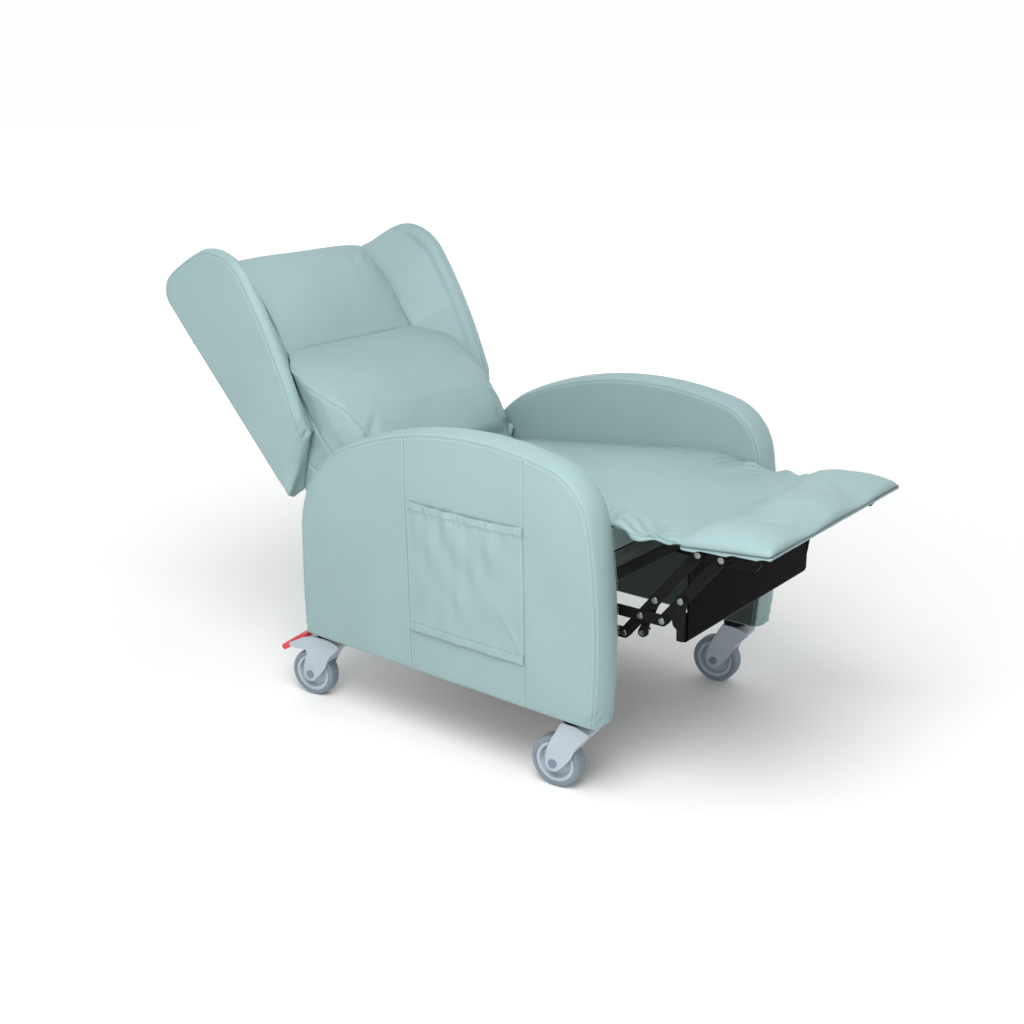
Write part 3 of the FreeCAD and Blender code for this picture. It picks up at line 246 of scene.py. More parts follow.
def cloth(name, base, size=0.0016):
    """Woven lining: two crossing sets of ribs with uneven threads."""
    material, tree, surface = start_material(name, Roughness=0.9, Specular_IOR_Level=0.2)
    surface.inputs["Sheen Weight"].default_value = 0.25
    ribs = []
    for way in ("X", "Y", "Z"):
        wave = node(tree, "ShaderNodeTexWave", {"bands_direction": way}, Vector=place(tree),
                    Scale=0.314 / size, Distortion=0.6, Detail=1.0)
        ribs.append(wave.outputs["Fac"])
    weave = maths(tree, "ADD", maths(tree, "MULTIPLY", ribs[0], ribs[1]), ribs[2])
    tone = mixed(tree, spread(tree, noise(tree, 0.02, 4.0), 0.3, 0.7), rgba(base, 0.8), rgba(base, 1.25))
    tone = mixed(tree, spread(tree, weave, 0.0, 1.6, 0.5, 0.0), tone, rgba(base, 0.45))
    tree.links.new(tone, surface.inputs["Base Color"])
    bumped(tree, surface, (weave, 0.0004), (noise(tree, 0.012, 2.0), 0.0006))
    return material


def painted_steel(name, base):
    """Powder coat: orange peel, faint scuffs and a thin duller dust."""
    material, tree, surface = start_material(name, Specular_IOR_Level=0.035)
    scuff = spread(tree, noise(tree, 0.03, 6.0, place(tree, x=0.4, y=1.0, z=2.2), 0.7), 0.60, 0.72)
    tone = mixed(tree, scuff, rgba(base), rgba((0.016, 0.016, 0.018)))
    tree.links.new(tone, surface.inputs["Base Color"])
    tree.links.new(spread(tree, noise(tree, 0.02, 4.0), 0.3, 0.7, 0.30, 0.46), surface.inputs["Roughness"])
    bumped(tree, surface, (noise(tree, 0.0016, 2.0), 0.00016), (noise(tree, 0.012, 1.0), 0.0001), edge=0.0008)
    return material


def plated(name, base):
    """Zinc plate: soft metal shine with a mottled, faintly brushed skin."""
    material, tree, surface = start_material(name, Metallic=1.0)
    mottle = spread(tree, noise(tree, 0.003, 4.0), 0.3, 0.7)
    tree.links.new(mixed(tree, mottle, rgba(base, 0.86), rgba(base, 1.12)), surface.inputs["Base Color"])
    tree.links.new(spread(tree, mottle, 0.0, 1.0, 0.24, 0.42), surface.inputs["Roughness"])
    bumped(tree, surface, (noise(tree, 0.0010, 3.0), 0.00008), edge=0.0007)
    return material


def plastic(name, base, rough=0.4, peel=0.0012, depth=0.00006, fleck=0.05, edge=0.0):
    """Moulded plastic: fine spark texture, faint flow marks and light handling marks."""
    material, tree, surface = start_material(name, Specular_IOR_Level=0.5)
    flow = spread(tree, noise(tree, 0.02, 3.0, place(tree, x=1.0, y=0.5, z=2.0)), 0.3, 0.7)
    tone = mixed(tree, flow, rgba(base, 1 - fleck), rgba(base, 1 + fleck))
    smudge = spread(tree, noise(tree, 0.012, 5.0, rough=0.7), 0.62, 0.75, 0.0, 0.25)
    tree.links.new(mixed(tree, smudge, tone, rgba(base, 0.72)), surface.inputs["Base Color"])
    tree.links.new(spread(tree, flow, 0.0, 1.0, rough, rough + 0.12), surface.inputs["Roughness"])
    bumped(tree, surface, (noise(tree, peel, 2.0), depth), edge=edge)
    return material


def gloss_board(name, base):
    """Glossy black sheet with hairline scratches and a little dust."""
    material, tree, surface = start_material(name, Specular_IOR_Level=0.012)
    hair = noise(tree, 0.02, 8.0, place(tree, x=0.15, y=6.0, z=6.0), 0.8)
    dust = spread(tree, noise(tree, 0.0015, 3.0), 0.66, 0.74, 0.0, 0.6)
    tree.links.new(mixed(tree, dust, rgba(base), rgba((0.008, 0.008, 0.009))), surface.inputs["Base Color"])
    tree.links.new(spread(tree, hair, 0.4, 0.7, 0.10, 0.26), surface.inputs["Roughness"])
    bumped(tree, surface, (hair, 0.00012), (noise(tree, 0.05, 1.0), 0.0005))
    return material


def timber(name, base):
    """Pine: long grain lines with darker late wood and open pores."""
    material, tree, surface = start_material(name, Roughness=0.62, Specular_IOR_Level=0.3)
    grain = place(tree, x=0.9, y=20.0, z=20.0)
    ring = node(tree, "ShaderNodeTexWave", {"bands_direction": "Y"}, Vector=grain, Scale=1.2,
                Distortion=4.0, Detail=3.0, Detail_Scale=1.4).outputs["Fac"]
    pore = noise(tree, 0.02, 6.0, place(tree, x=0.5, y=14.0, z=14.0), 0.7)
    tone = mixed(tree, ring, rgba(base), rgba((0.30, 0.18, 0.085)))
    tree.links.new(mixed(tree, spread(tree, pore, 0.55, 0.7, 0.0, 0.5), tone, rgba((0.19, 0.11, 0.05))),
                   surface.inputs["Base Color"])
    bumped(tree, surface, (pore, 0.0004))
    return material


def make_materials():
    c = settings().colours
    return {
        "leather": leather("coated_leather", c.leather, c.painted_shade),
        "thread": plastic("polyester_thread", c.thread, 0.6, 0.0006, 0.00008),
        "piping": plastic("dark_piping", c.piping, 0.45, 0.0008, 0.00008),
        "lining": cloth("lining_cloth", c.lining),
        "webbing": cloth("elastic_webbing", c.webbing, 0.0022),
        "steel": painted_steel("powder_coated_steel", c.steel),
        "zinc": plated("zinc_plate", c.zinc),
        "board": gloss_board("glossy_board", c.board),
        "wood": timber("frame_timber", c.wood),
        "housing": plastic("caster_housing_plastic", c.housing, 0.30, 0.0015, 0.00004, 0.02, edge=0.002),
        "rim": plastic("caster_rim_plastic", c.rim, 0.32, 0.0015, 0.00004, 0.03, edge=0.001),
        "tyre": plastic("caster_tyre_rubber", c.tyre, 0.55, 0.0010, 0.00010, 0.08, edge=0.002),
        "cap": plastic("axle_cap_plastic", c.cap, 0.45, 0.0009, 0.00006),
        "pedal": plastic("brake_pedal_plastic", c.pedal, 0.36, 0.0014, 0.00006, edge=0.0015),
    }


def material(name):
    return MATERIALS[name]


MATERIALS = {}


# Places

HINGE = (275, 440)  # the backrest's hinge, (y, z) in millimetres; the backrest leans back 45 degrees
LEG_PIVOT = (-503.491, 478.128)  # the leg rest's rear pivot
LEG_TILT = math.radians(5)
UPRIGHT = 25  # degrees that the backrest turns until it stands up
SEAM_STEP, FOLD_STEP = 0.002, 0.003
GAP = 7.3  # metres put between the lines of a field, so that a distance along tells which line it is on


def back_point(x, n, s):
    """A point of the backrest: n behind the hinge line and s above it, in millimetres."""
    k = math.sqrt(0.5)
    return Vector((x, HINGE[0] + k * (n + s), HINGE[1] + k * (s - n))) / 1000


def back_local(co):
    """Distances behind the hinge line and above it, in metres, for points of the backrest."""
    y, z = co[:, 1] - HINGE[0] / 1000, co[:, 2] - HINGE[1] / 1000
    return (y - z) * math.sqrt(0.5), (y + z) * math.sqrt(0.5)


def leg_point(x, f, h):
    """A point of the leg rest: f ahead of its rear pivot and h above it, in millimetres."""
    return Vector((x, LEG_PIVOT[0] - f * math.cos(LEG_TILT) + h * math.sin(LEG_TILT),
                   LEG_PIVOT[1] + f * math.sin(LEG_TILT) + h * math.cos(LEG_TILT))) / 1000


def leg_height(co):
    """Distances above the leg rest's rear pivot, square to the pad, in metres."""
    ahead, up = -co[:, 1] + LEG_PIVOT[0] / 1000, co[:, 2] - LEG_PIVOT[1] / 1000
    return up * math.cos(LEG_TILT) - ahead * math.sin(LEG_TILT)


def side_point(x, y, z):
    """A point of the chair, in millimetres."""
    return Vector((x, y, z)) / 1000


def direction(point, *way):
    """The unit direction of a way in the axes of back_point or leg_point."""
    return (point(*way) - point(0, 0, 0)).normalized()


def arc_chain(points, grow=0.0, step=4.0):
    """A line through the first two points, then one arc to each further point, all tangent."""
    start, end = Vector(points[0]), Vector(points[1])
    along = (end - start).normalized()
    out = Vector((along.y, -along.x)) * grow
    line = [start + out, end + out]
    for point in points[2:]:
        start, end = end, Vector(point)
        left, chord = Vector((-along.y, along.x)), end - start
        radius = chord.dot(chord) / (2 * chord.dot(left))
        centre = start + left * radius
        first = math.atan2(start.y - centre.y, start.x - centre.x)
        turn = 2 * math.asin(chord.length / (2 * abs(radius)))
        count = max(2, math.ceil(abs(radius) * turn / step))
        for i in range(1, count + 1):
            a = first + turn * i / count
            line.append(centre + Vector((math.cos(a), math.sin(a))) * (radius + grow))
        radial = (end - centre).normalized()
        along = Vector((-radial.y, radial.x))
    return line


# Side outlines in millimetres: the arm's (y, z), and the wing's (behind the hinge line, above it).
ARM = [(366, 137), (360.5, 369), (236, 558.5), (-266, 607), (-350, 516.5), (-356, 137)]
WING = [(111, 88), (93, 582), (38, 626), (-67, 594), (-137, 462), (-27, 150)]


def arm_line(x, grow, low=152):
    return [side_point(x, p.x, max(p.y, low)) for p in arc_chain(ARM, grow)]


def wing_line(x, grow, first=0):
    return [back_point(x, p.x, p.y) for p in arc_chain(WING, grow)[first:]]


def spaced(points, step):
    """The line through the points, with points at even steps."""
    p = np.array([tuple(v) for v in points], float)
    keep = np.r_[True, np.linalg.norm(np.diff(p, axis=0), axis=1) > 1e-6]
    p = p[keep]
    run = np.r_[0, np.cumsum(np.linalg.norm(np.diff(p, axis=0), axis=1))]
    count = max(2, int(round(run[-1] / step)) + 1)
    at = np.linspace(0, run[-1], count)
    return np.stack([np.interp(at, run, p[:, k]) for k in range(3)], 1), at


# Meshes

def link(name, mesh):
    obj = bpy.data.objects.new(name, mesh)
    bpy.context.scene.collection.objects.link(obj)
    return obj


def mesh_object(name, points, faces=(), edges=()):
    mesh = bpy.data.meshes.new(name)
    mesh.from_pydata([tuple(p) for p in points], edges, faces)
    mesh.validate()
    return link(name, mesh)


def solid_copy(name, *nodes, extra=None):
    """A merged copy of some nodes of the frame; extra adds more to its mesh."""
    bm = bmesh.new()
    for n in nodes:
        bm.from_mesh(NODES[n].data)
    if extra:
        extra(bm)
    bmesh.ops.remove_doubles(bm, verts=bm.verts, dist=1e-5)
    mesh = bpy.data.meshes.new(name)
    bm.to_mesh(mesh)
    bm.free()
    return link(name, mesh)


def apply_modifiers(obj):
    """Puts the evaluated mesh in place of the object's own and removes its modifiers."""
    bpy.context.view_layer.update()
    made = bpy.data.meshes.new_from_object(obj.evaluated_get(bpy.context.evaluated_depsgraph_get()))
    obj.modifiers.clear()
    old, obj.data = obj.data, made
    bpy.data.meshes.remove(old)
    return obj


def with_modifier(obj, kind, **values):
    modifier = obj.modifiers.new(kind.title(), kind)
    for key, value in values.items():
        setattr(modifier, key, value)
    return apply_modifiers(obj)


def vectors(collection, key):
    values = np.empty(len(collection) * 3, np.float32)
    collection.foreach_get(key, values)
    return values.reshape(-1, 3).astype(float)


def points_of(obj):
    return vectors(obj.data.vertices, "co")


def set_points(obj, co):
    obj.data.vertices.foreach_set("co", co.astype(np.float32).ravel())
    obj.data.update()


def normals_of(obj):
    return vectors(obj.data.vertex_normals, "vector")


def relax(obj, rounds, share=0.5, weight=None):
    """Smooths a mesh by moving each point towards its neighbours' middle and partly back.
    weight holds some points back."""
    co = points_of(obj)
    before = co
    edges = np.empty(len(obj.data.edges) * 2, np.int32)
    obj.data.edges.foreach_get("vertices", edges)
    a, b = edges.reshape(-1, 2).T
    count = np.maximum(np.bincount(np.r_[a, b], minlength=len(co)), 1)[:, None]
    for _ in range(rounds):
        for amount in (share, -share * 0.96):
            total = np.stack([np.bincount(a, co[b, k], len(co)) + np.bincount(b, co[a, k], len(co))
                              for k in range(3)], 1)
            co = co + (total / count - co) * amount
    set_points(obj, co if weight is None else before + (co - before) * weight[:, None])


def ripple(co, size, seed, waves=7):
    """Smooth irregular heights between about -1 and 1."""
    random = np.random.default_rng(seed)
    ways = random.normal(size=(waves, 3))
    ways /= np.linalg.norm(ways, axis=1)[:, None]
    rate = 2 * math.pi / size * random.uniform(0.6, 1.5, waves)
    return np.sin(co @ ways.T * rate + random.uniform(0, 6.28, waves)).sum(1) / math.sqrt(waves)


def bell(value, width):
    """A smooth bump of height 1 around 0."""
    return np.exp(-(value / width) ** 2)


def ramp(value, start, end):
    """0 before start, 1 beyond end and a straight rise between. The end may be the lower one."""
    return np.clip((value - start) / (end - start), 0, 1)


def fill(obj, held, cap):
    """Fills a closed cover with air by cloth simulation. Held points stay, others move up to cap."""
    p = settings().padding
    rest, out = points_of(obj), normals_of(obj)
    group = obj.vertex_groups.new(name="held")
    weight = held(rest)
    for level in np.unique(np.round(weight, 1)):
        if level > 0:
            group.add(np.flatnonzero(np.round(weight, 1) == level).tolist(), float(level), "REPLACE")
    set_points(obj, rest - out * p.slack * (1 - weight)[:, None])
    modifier = obj.modifiers.new("Filling", "CLOTH")
    s = modifier.settings
    s.quality = 4
    s.mass = 0.25
    s.tension_stiffness = s.compression_stiffness = 12
    s.shear_stiffness = 5
    s.bending_stiffness = 0.6
    s.use_pressure = True
    s.uniform_pressure_force = p.pressure
    s.effector_weights.gravity = 0
    s.vertex_group_mass = "held"
    modifier.point_cache.frame_start, modifier.point_cache.frame_end = 1, 20
    for frame_number in range(1, 21):
        bpy.context.scene.frame_set(frame_number)
    done = obj.evaluated_get(bpy.context.evaluated_depsgraph_get())
    step = points_of(done) - rest
    far = np.linalg.norm(step, axis=1)
    apply_modifiers(obj)
    obj.vertex_groups.clear()
    set_points(obj, rest + step * np.minimum(1, cap / np.maximum(far, 1e-9))[:, None])
    bpy.context.scene.frame_set(1)


def padded_copy(name, nodes, cell, held=None, cap=None, limit=None, subdivide=True, rounds=2, calm=2,
                extra=None):
    """A padded piece in the form of CAD solids: meshed evenly, filled, kept in bounds, refined."""
    obj = solid_copy(name, *nodes, extra=extra)
    with_modifier(obj, "REMESH", mode="VOXEL", voxel_size=cell, adaptivity=0.0)
    relax(obj, rounds)
    if held:
        fill(obj, held, cap or settings().padding.swell)
        relax(obj, calm)
    if limit:
        set_points(obj, limit(points_of(obj)))
    if subdivide:
        with_modifier(obj, "SUBSURF", levels=1, render_levels=1)
    return obj


def distance_to(co, line, every=1):
    """Distance in the side view from each point to the nearest point of a line, of which every
    so many points are used."""
    line = np.array([tuple(v) for v in line])[::every]
    return np.sqrt(((co[:, None, 1:] - line[None, :, 1:]) ** 2).sum(2)).min(1)


def surface_of(obj):
    bm = bmesh.new()
    bm.from_mesh(obj.data)
    tree = BVHTree.FromBMesh(bm)
    bm.free()
    return tree


def lay(tree, line, step, way=None):
    """Lays a line on a surface: even points, normals and distances along it. With way, the line
    is thrown along that direction from outside; otherwise each point goes to the nearest place."""
    p, along = spaced(line, step)
    spots, out = [], []
    for q in p:
        q = Vector(q)
        hit = tree.ray_cast(q - way * 0.25, way) if way else (None,)
        if hit[0] is None:
            hit = tree.find_nearest(q)
        spots.append(hit[0])
        out.append(hit[1])
    spots, out = np.array(spots), np.array(out)
    for _ in range(3):
        out[1:-1] = (out[:-2] + out[1:-1] * 2 + out[2:]) / 4
    out /= np.linalg.norm(out, axis=1)[:, None]
    ahead = np.gradient(spots, axis=0)
    ahead /= np.maximum(np.linalg.norm(ahead, axis=1)[:, None], 1e-9)
    return {"spot": spots, "out": out, "ahead": ahead, "side": np.cross(ahead, out), "along": along}


def lay_folds(tree, folds, point, side=1, way=None):
    """Lays folds on a surface. Each is a list of places in the axes of a point function."""
    return [lay(tree, [point(side * x, a, b) for x, a, b in f], FOLD_STEP, way) for f in folds]


def float_attribute(obj, name, values):
    found = obj.data.attributes.get(name) or obj.data.attributes.new(name, "FLOAT", "POINT")
    found.data.foreach_set("value", np.asarray(values, np.float32))


def field(obj, lines):
    """For each point: signed distance across the nearest line, plain distance, distance along."""
    spot = np.concatenate([one["spot"] for one in lines])
    side = np.concatenate([one["side"] for one in lines])
    along = np.concatenate([one["along"] + GAP * i for i, one in enumerate(lines)])
    tree = KDTree(len(spot))
    for i, p in enumerate(spot):
        tree.insert(p, i)
    tree.balance()
    co = points_of(obj)
    found = [tree.find(p)[1:] for p in co]
    index = np.array([f[0] for f in found])
    away = np.array([f[1] for f in found])
    across = ((co - spot[index]) * side[index]).sum(1)
    return across, away, along[index]


def wander(run, pitch, seed):
    """An uneven wave along a seam, between 0 and 1."""
    a = run / pitch * 2 * math.pi
    return 0.5 + 0.5 * np.sin(a + 1.6 * np.sin(a / 3.1 + seed) + 1.1 * np.sin(a / 7.3 + 2 * seed))


def order_of(run, lines):
    """The number of the line that each point's distance along belongs to."""
    return np.floor(run / GAP + 1e-6).astype(int).clip(0, len(lines) - 1)


def mark_seams(obj, across, away, dark):
    """Stores where the seam lines run on a cover and how dark their painted shade is."""
    float_attribute(obj, "seam_across", across)
    float_attribute(obj, "seam_away", away)
    float_attribute(obj, "seam_shade_strength", np.full(len(away), dark))


def sew(obj, lines, depth=None, pucker=0.0, pitch=0.016, reach=0.016, seed=1.0, dark=0.55):
    """Draws the cover in along seams, with small puckers beside them, and marks the seam lines.
    depth is one value or one for each line; the last argument is how dark the painted shade on the seams'
    lines is."""
    p = settings().padding
    width = p.seam_width
    across, away, run = field(obj, lines)
    depth = np.broadcast_to(p.seam_depth if depth is None else depth, len(lines))[order_of(run, lines)]
    push = -depth * bell(away, width) + 0.35 * depth * bell(away - 2.2 * width, width)
    push -= pucker * bell(away, reach) * (1 - bell(away, width)) * wander(run, pitch, seed)
    set_points(obj, points_of(obj) + normals_of(obj) * push[:, None])
    mark_seams(obj, across, away, dark)


def crumple(obj, lines, depth, width, dark=0.25, ridge=0.5):
    """Presses folds into the cover and paints shade along them. They fade out towards their ends."""
    across, away, run = field(obj, lines)
    spans = [one["along"][-1] for one in lines]
    order = order_of(run, lines)
    share = (run - GAP * order) / np.array(spans)[order]
    fade = np.sin(np.clip(share, 0, 1) * math.pi) ** 0.6
    push = (-depth * bell(away, width) + ridge * depth * bell(away - 1.9 * width, width)) * fade
    set_points(obj, points_of(obj) + normals_of(obj) * push[:, None])
    # Painted shade along each fold; where a point has some already, the darker stays.
    old = obj.data.attributes.get("painted_shade")
    fold_shade = dark * bell(away, width * 0.55) * fade
    if old:
        was = np.empty(len(fold_shade), np.float32)
        old.data.foreach_get("value", was)
        fold_shade = np.maximum(fold_shade, was)
    float_attribute(obj, "painted_shade", fold_shade)


STITCHES = {}  # for each body, the places and turns of its stitches


def stitch(body, lines, offsets=None, inset=0.0003):
    """Remembers rows of stitches beside lines, for one mesh of stitches on each body."""
    p = settings().padding
    for one in lines:
        count = max(2, int(one["along"][-1] / p.pitch))
        at = np.linspace(0, len(one["along"]) - 1, count).round().astype(int)
        for offset in offsets or (-p.row_gap, p.row_gap):
            spots = one["spot"][at] + one["side"][at] * offset + one["out"][at] * inset
            for spot, ahead, out in zip(spots, one["ahead"][at], one["out"][at]):
                side = np.cross(out, ahead)
                turn = Matrix((side, np.cross(ahead, side), ahead)).transposed().to_euler()
                STITCHES.setdefault(body, []).append((spot, tuple(turn)))


# Geometry Nodes trees for what repeats and what follows a path

def new_tree(name, inputs):
    tree = bpy.data.node_groups.new(name, "GeometryNodeTree")
    tree.interface.new_socket("Geometry", in_out="INPUT", socket_type="NodeSocketGeometry")
    for label, value in inputs:
        socket = tree.interface.new_socket(label, in_out="INPUT", socket_type="NodeSocketFloat")
        socket.default_value = value
    tree.interface.new_socket("Material", in_out="INPUT", socket_type="NodeSocketMaterial")
    tree.interface.new_socket("Geometry", in_out="OUTPUT", socket_type="NodeSocketGeometry")
    return tree, tree.nodes.new("NodeGroupInput").outputs


def end_tree(tree, shape, given):
    real = node(tree, "GeometryNodeRealizeInstances", Geometry=shape).outputs[0]
    finish = node(tree, "GeometryNodeSetMaterial", Geometry=real, Material=given["Material"]).outputs[0]
    node(tree, "NodeGroupOutput", Geometry=finish)
    return tree


def bead_tree():
    """One small rounded bead on each point, turned by the point's attribute."""
    tree, given = new_tree("beads", (("Length", 0.004), ("Width", 0.001)))
    bead = node(tree, "GeometryNodeMeshIcoSphere", Radius=0.5, Subdivisions=1).outputs[0]
    size = node(tree, "ShaderNodeCombineXYZ", X=given["Width"], Y=given["Width"],
                Z=given["Length"]).outputs[0]
    shaped = node(tree, "GeometryNodeTransform", Geometry=bead, Scale=size).outputs[0]
    smooth = node(tree, "GeometryNodeSetShadeSmooth", Geometry=shaped).outputs[0]
    turn = node(tree, "GeometryNodeInputNamedAttribute", {"data_type": "FLOAT_VECTOR"}, Name="turn")
    angle = node(tree, "FunctionNodeEulerToRotation", Euler=turn.outputs[0]).outputs[0]
    copies = node(tree, "GeometryNodeInstanceOnPoints", Points=given["Geometry"], Instance=smooth,
                  Rotation=angle).outputs[0]
    return end_tree(tree, copies, given)


def tube_tree():
    """A round tube along each chain of edges."""
    tree, given = new_tree("tubes", (("Radius", 0.002),))
    path = node(tree, "GeometryNodeMeshToCurve", Mesh=given["Geometry"]).outputs[0]
    ring = node(tree, "GeometryNodeCurvePrimitiveCircle", Resolution=10, Radius=given["Radius"]).outputs[0]
    tube = node(tree, "GeometryNodeCurveToMesh", Curve=path, Profile_Curve=ring, Fill_Caps=True).outputs[0]
    smooth = node(tree, "GeometryNodeSetShadeSmooth", Geometry=tube).outputs[0]
    return end_tree(tree, smooth, given)


def grow(obj, tree, finish, **values):
    """Runs a tree on an object and keeps the result as the object's mesh."""
    modifier = obj.modifiers.new("Growth", "NODES")
    modifier.node_group = tree
    values["Material"] = material(finish)
    for item in tree.interface.items_tree:
        if item.in_out == "INPUT" and item.name in values:
            modifier[item.identifier] = values[item.name]
    return apply_modifiers(obj)


def beads(name, places, finish, bead_length, width):
    obj = mesh_object(name, [spot for spot, _ in places])
    turn = obj.data.attributes.new("turn", "FLOAT_VECTOR", "POINT")
    turn.data.foreach_set("vector", np.array([t for _, t in places], np.float32).ravel())
    return grow(obj, bead_tree(), finish, Length=bead_length, Width=width)


def tube(name, line, radius, finish, step=0.003):
    p, _ = spaced(line, step)
    edges = [(i, i + 1) for i in range(len(p) - 1)]
    return grow(mesh_object(name, p, edges=edges), tube_tree(), finish, Radius=radius)


# Finished pieces

def dress(obj, finish, body, stands_for=()):
    """Gives a piece its material and smooth faces, and puts it on its body, if one is named."""
    obj.data.materials.clear()
    obj.data.materials.append(material(finish))
    obj.data.shade_smooth()
    for name in ("seam_across", "seam_away"):
        if finish == "leather" and name not in obj.data.attributes:
            float_attribute(obj, name, np.ones(len(obj.data.vertices)))
    if body:
        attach(obj, body)
    if stands_for:
        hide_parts(*stands_for)
    return obj


def refinish(finish, *nodes):
    """Gives CAD nodes a material of their own."""
    for n in nodes:
        mesh = NODES[n].data
        mesh.materials.clear()
        mesh.materials.append(material(finish))


def shade_below(obj, side):
    """Marks the arm's inner face below the seat for painted shade, which darkens it."""
    co, out = points_of(obj), normals_of(obj)
    inner = ramp(-out[:, 0] * side, 0.65, 0.90)
    float_attribute(obj, "painted_underside_shade", inner * ramp(co[:, 2], 0.435, 0.429))


def make_arms():
    """The arms' covers: a seam round each side, two upright seams and small folds."""
    for name, side in SIDES:
        p = settings().padding
        obj = padded_copy("arm_cover_" + name, ["arm_pad_" + name], p.fine_cell, subdivide=False, rounds=3)
        co, out = points_of(obj), normals_of(obj)
        outer = np.clip(out[:, 0] * side, 0, 1) ** 4
        reach = distance_to(co, arm_line(side * 319, 0.0), 4)
        puff = 0.0028 * (1 - bell(reach, 0.055)) * outer
        puff += 0.0006 * ripple(co, 0.11, 4 + side) * outer
        set_points(obj, co + out * puff[:, None])
        tree = surface_of(obj)
        rims = [lay(tree, arm_line(side * x, g), SEAM_STEP) for x, g in ((318.5, -1.5), (253.5, -1.5))]
        top = arc_chain(ARM)
        posts = []
        for y in (65, -215):
            high = max(p.y for p in top if abs(p.x - y) < 8) - 5
            posts.append(lay(tree, [side_point(side * 319, y, 150), side_point(side * 319, y, high)],
                             SEAM_STEP, Vector((-side, 0, 0))))
        sew(obj, rims + posts, (0.0010, 0.0010, 0.0003, 0.0003), 0.0003, 0.021, seed=2.0 + side, dark=0.34)
        folds = [[(318, -352, 151), (306, -362, 163), (290, -366, 172)],
                 [(317, -340, 150), (312, -361, 176), (303, -365, 194)],
                 [(262, -360, 151), (270, -364, 166), (283, -366, 176)],
                 [(319, 352, 151), (308, 365, 166), (294, 372, 174)]]
        crumple(obj, lay_folds(tree, folds, side_point, side), 0.0022, 0.0055, 0.18)
        shade_below(obj, side)
        stitch("base", rims + posts)
        dress(obj, "leather", "base", ["arm_pad_" + name])
        refinish("wood", "arm_board_" + name)


POCKET_HEMS = (0.932, 0.062)  # heights of the two hems' seams, as shares of the pocket's height


def pocket_depth(u, v):
    """How far the pocket stands off the arm, in millimetres, at shares u of its width and v of its
    height: its bulge, its folds, and the gathers of its hems."""
    flat = np.stack([u.ravel(), v.ravel(), np.zeros(u.size)], 1)
    sides = np.minimum(1, np.minimum(u, 1 - u) / 0.10) ** 0.7
    mouth = v ** 1.4
    bulge = (1.4 + 4.2 * np.sin(np.pi * u) ** 0.8 * (0.25 + 0.75 * mouth)) * sides
    waves = ripple(flat * (1.0, 0.34, 1.0), 0.17, 12).reshape(u.shape)
    drape = 1.75 * waves * np.sin(np.pi * u) ** 0.7 * (0.35 + 0.65 * v)
    for a, b, reach in ((0.03, 0.16, 0.5), (0.97, 0.10, 0.42), (0.05, 0.02, 0.35)):
        slope = np.abs((u - a) * (1 if a < 0.5 else -1) - (v - b) * 0.62)
        drape += 1.9 * bell(slope, 0.020) * np.clip(1 - np.hypot(u - a, v - b) / reach, 0, 1) * sides
    hem = (v > POCKET_HEMS[0] + 0.003) | (v < POCKET_HEMS[1] - 0.002)
    gather = 2.0 * wander(u * 0.28 + v * 0.05, 0.023, 3.0) * bell(v - 0.955, 0.05)
    gather += 1.3 * wander(u * 0.28 - v * 0.04, 0.034, 5.0) * bell(v - 0.03, 0.05)
    depth = bulge + 1.6 * drape + 0.5 * hem + gather - 0.7 * bell(v - POCKET_HEMS[0], 0.005)
    depth += 1.6 * bell(v, 0.10) - 0.7 * bell(v - POCKET_HEMS[1], 0.005)
    return np.clip(depth, 0.9, 9.0)


def make_pocket():
    """A patch of thin leather with a hem at its mouth, gathered a little and hanging in soft folds."""
    columns, rows = 118, 110
    left, right, low, high = -213.0, 63.5, 236.0, 494.0  # its edges, y and z in millimetres
    u, v = np.meshgrid(np.linspace(0, 1, columns), np.linspace(0, 1, rows))
    sag = -3.5 * np.sin(np.pi * u) * v ** 4
    arm = surface_of(bpy.data.objects["arm_cover_right"])
    y, z = right + (left - right) * u, low + (high - low) * v + sag
    hits = [arm.ray_cast(Vector((-0.4, a / 1000, b / 1000)), Vector((1, 0, 0)))[0].x * 1000
            for a, b in zip(y.ravel(), z.ravel())]
    points = np.stack([np.reshape(hits, u.shape) - pocket_depth(u, v), y, z], -1)
    index = np.arange(rows * columns).reshape(rows, columns)
    faces = np.stack([index[:-1, :-1], index[1:, :-1], index[1:, 1:], index[:-1, 1:]], -1).reshape(-1, 4)
    obj = mesh_object("pocket_cover", points.reshape(-1, 3) / 1000, faces.tolist())
    if obj.data.polygons[0].normal.x > 0:
        obj.data.flip_normals()
    with_modifier(obj, "SOLIDIFY", thickness=0.0014, offset=-1.0)
    tree, inward = surface_of(obj), Vector((1, 0, 0))
    heights = [low + (high - low) * share for share in POCKET_HEMS]
    lines = [lay(tree, [side_point(-319, right - 3, z), side_point(-319, left + 3, z)], SEAM_STEP, inward)
             for z in heights]
    across, away, _ = field(obj, lines)
    # Painted shade on the hems' seam lines.
    mark_seams(obj, across, away, 0.4)
    edges = [lay(tree, [side_point(-319, y, low + 3), side_point(-319, y, high - 3)], SEAM_STEP, inward)
             for y in (right - 4, left + 4)]
    stitch("base", lines + edges, (0.0,))
    dress(obj, "leather", "base", ["magazine_pocket"])


def within(half):
    """A limit that keeps a cover within a half width."""
    def limit(co):
        co[:, 0] = np.clip(co[:, 0], -half, half)
        return co
    return limit


def seat_held(co):
    """Holds the seat's underside, which slopes, and the limp panel, and the sides by half."""
    x, y, z = co.T
    slope = 0.08 * (0.2 - y)
    low = np.maximum(ramp(z - slope, 0.420, 0.400), ramp(y, -0.315, -0.345))
    return np.maximum(low, 0.5 * ramp(np.abs(x), 0.2415, 0.2455))


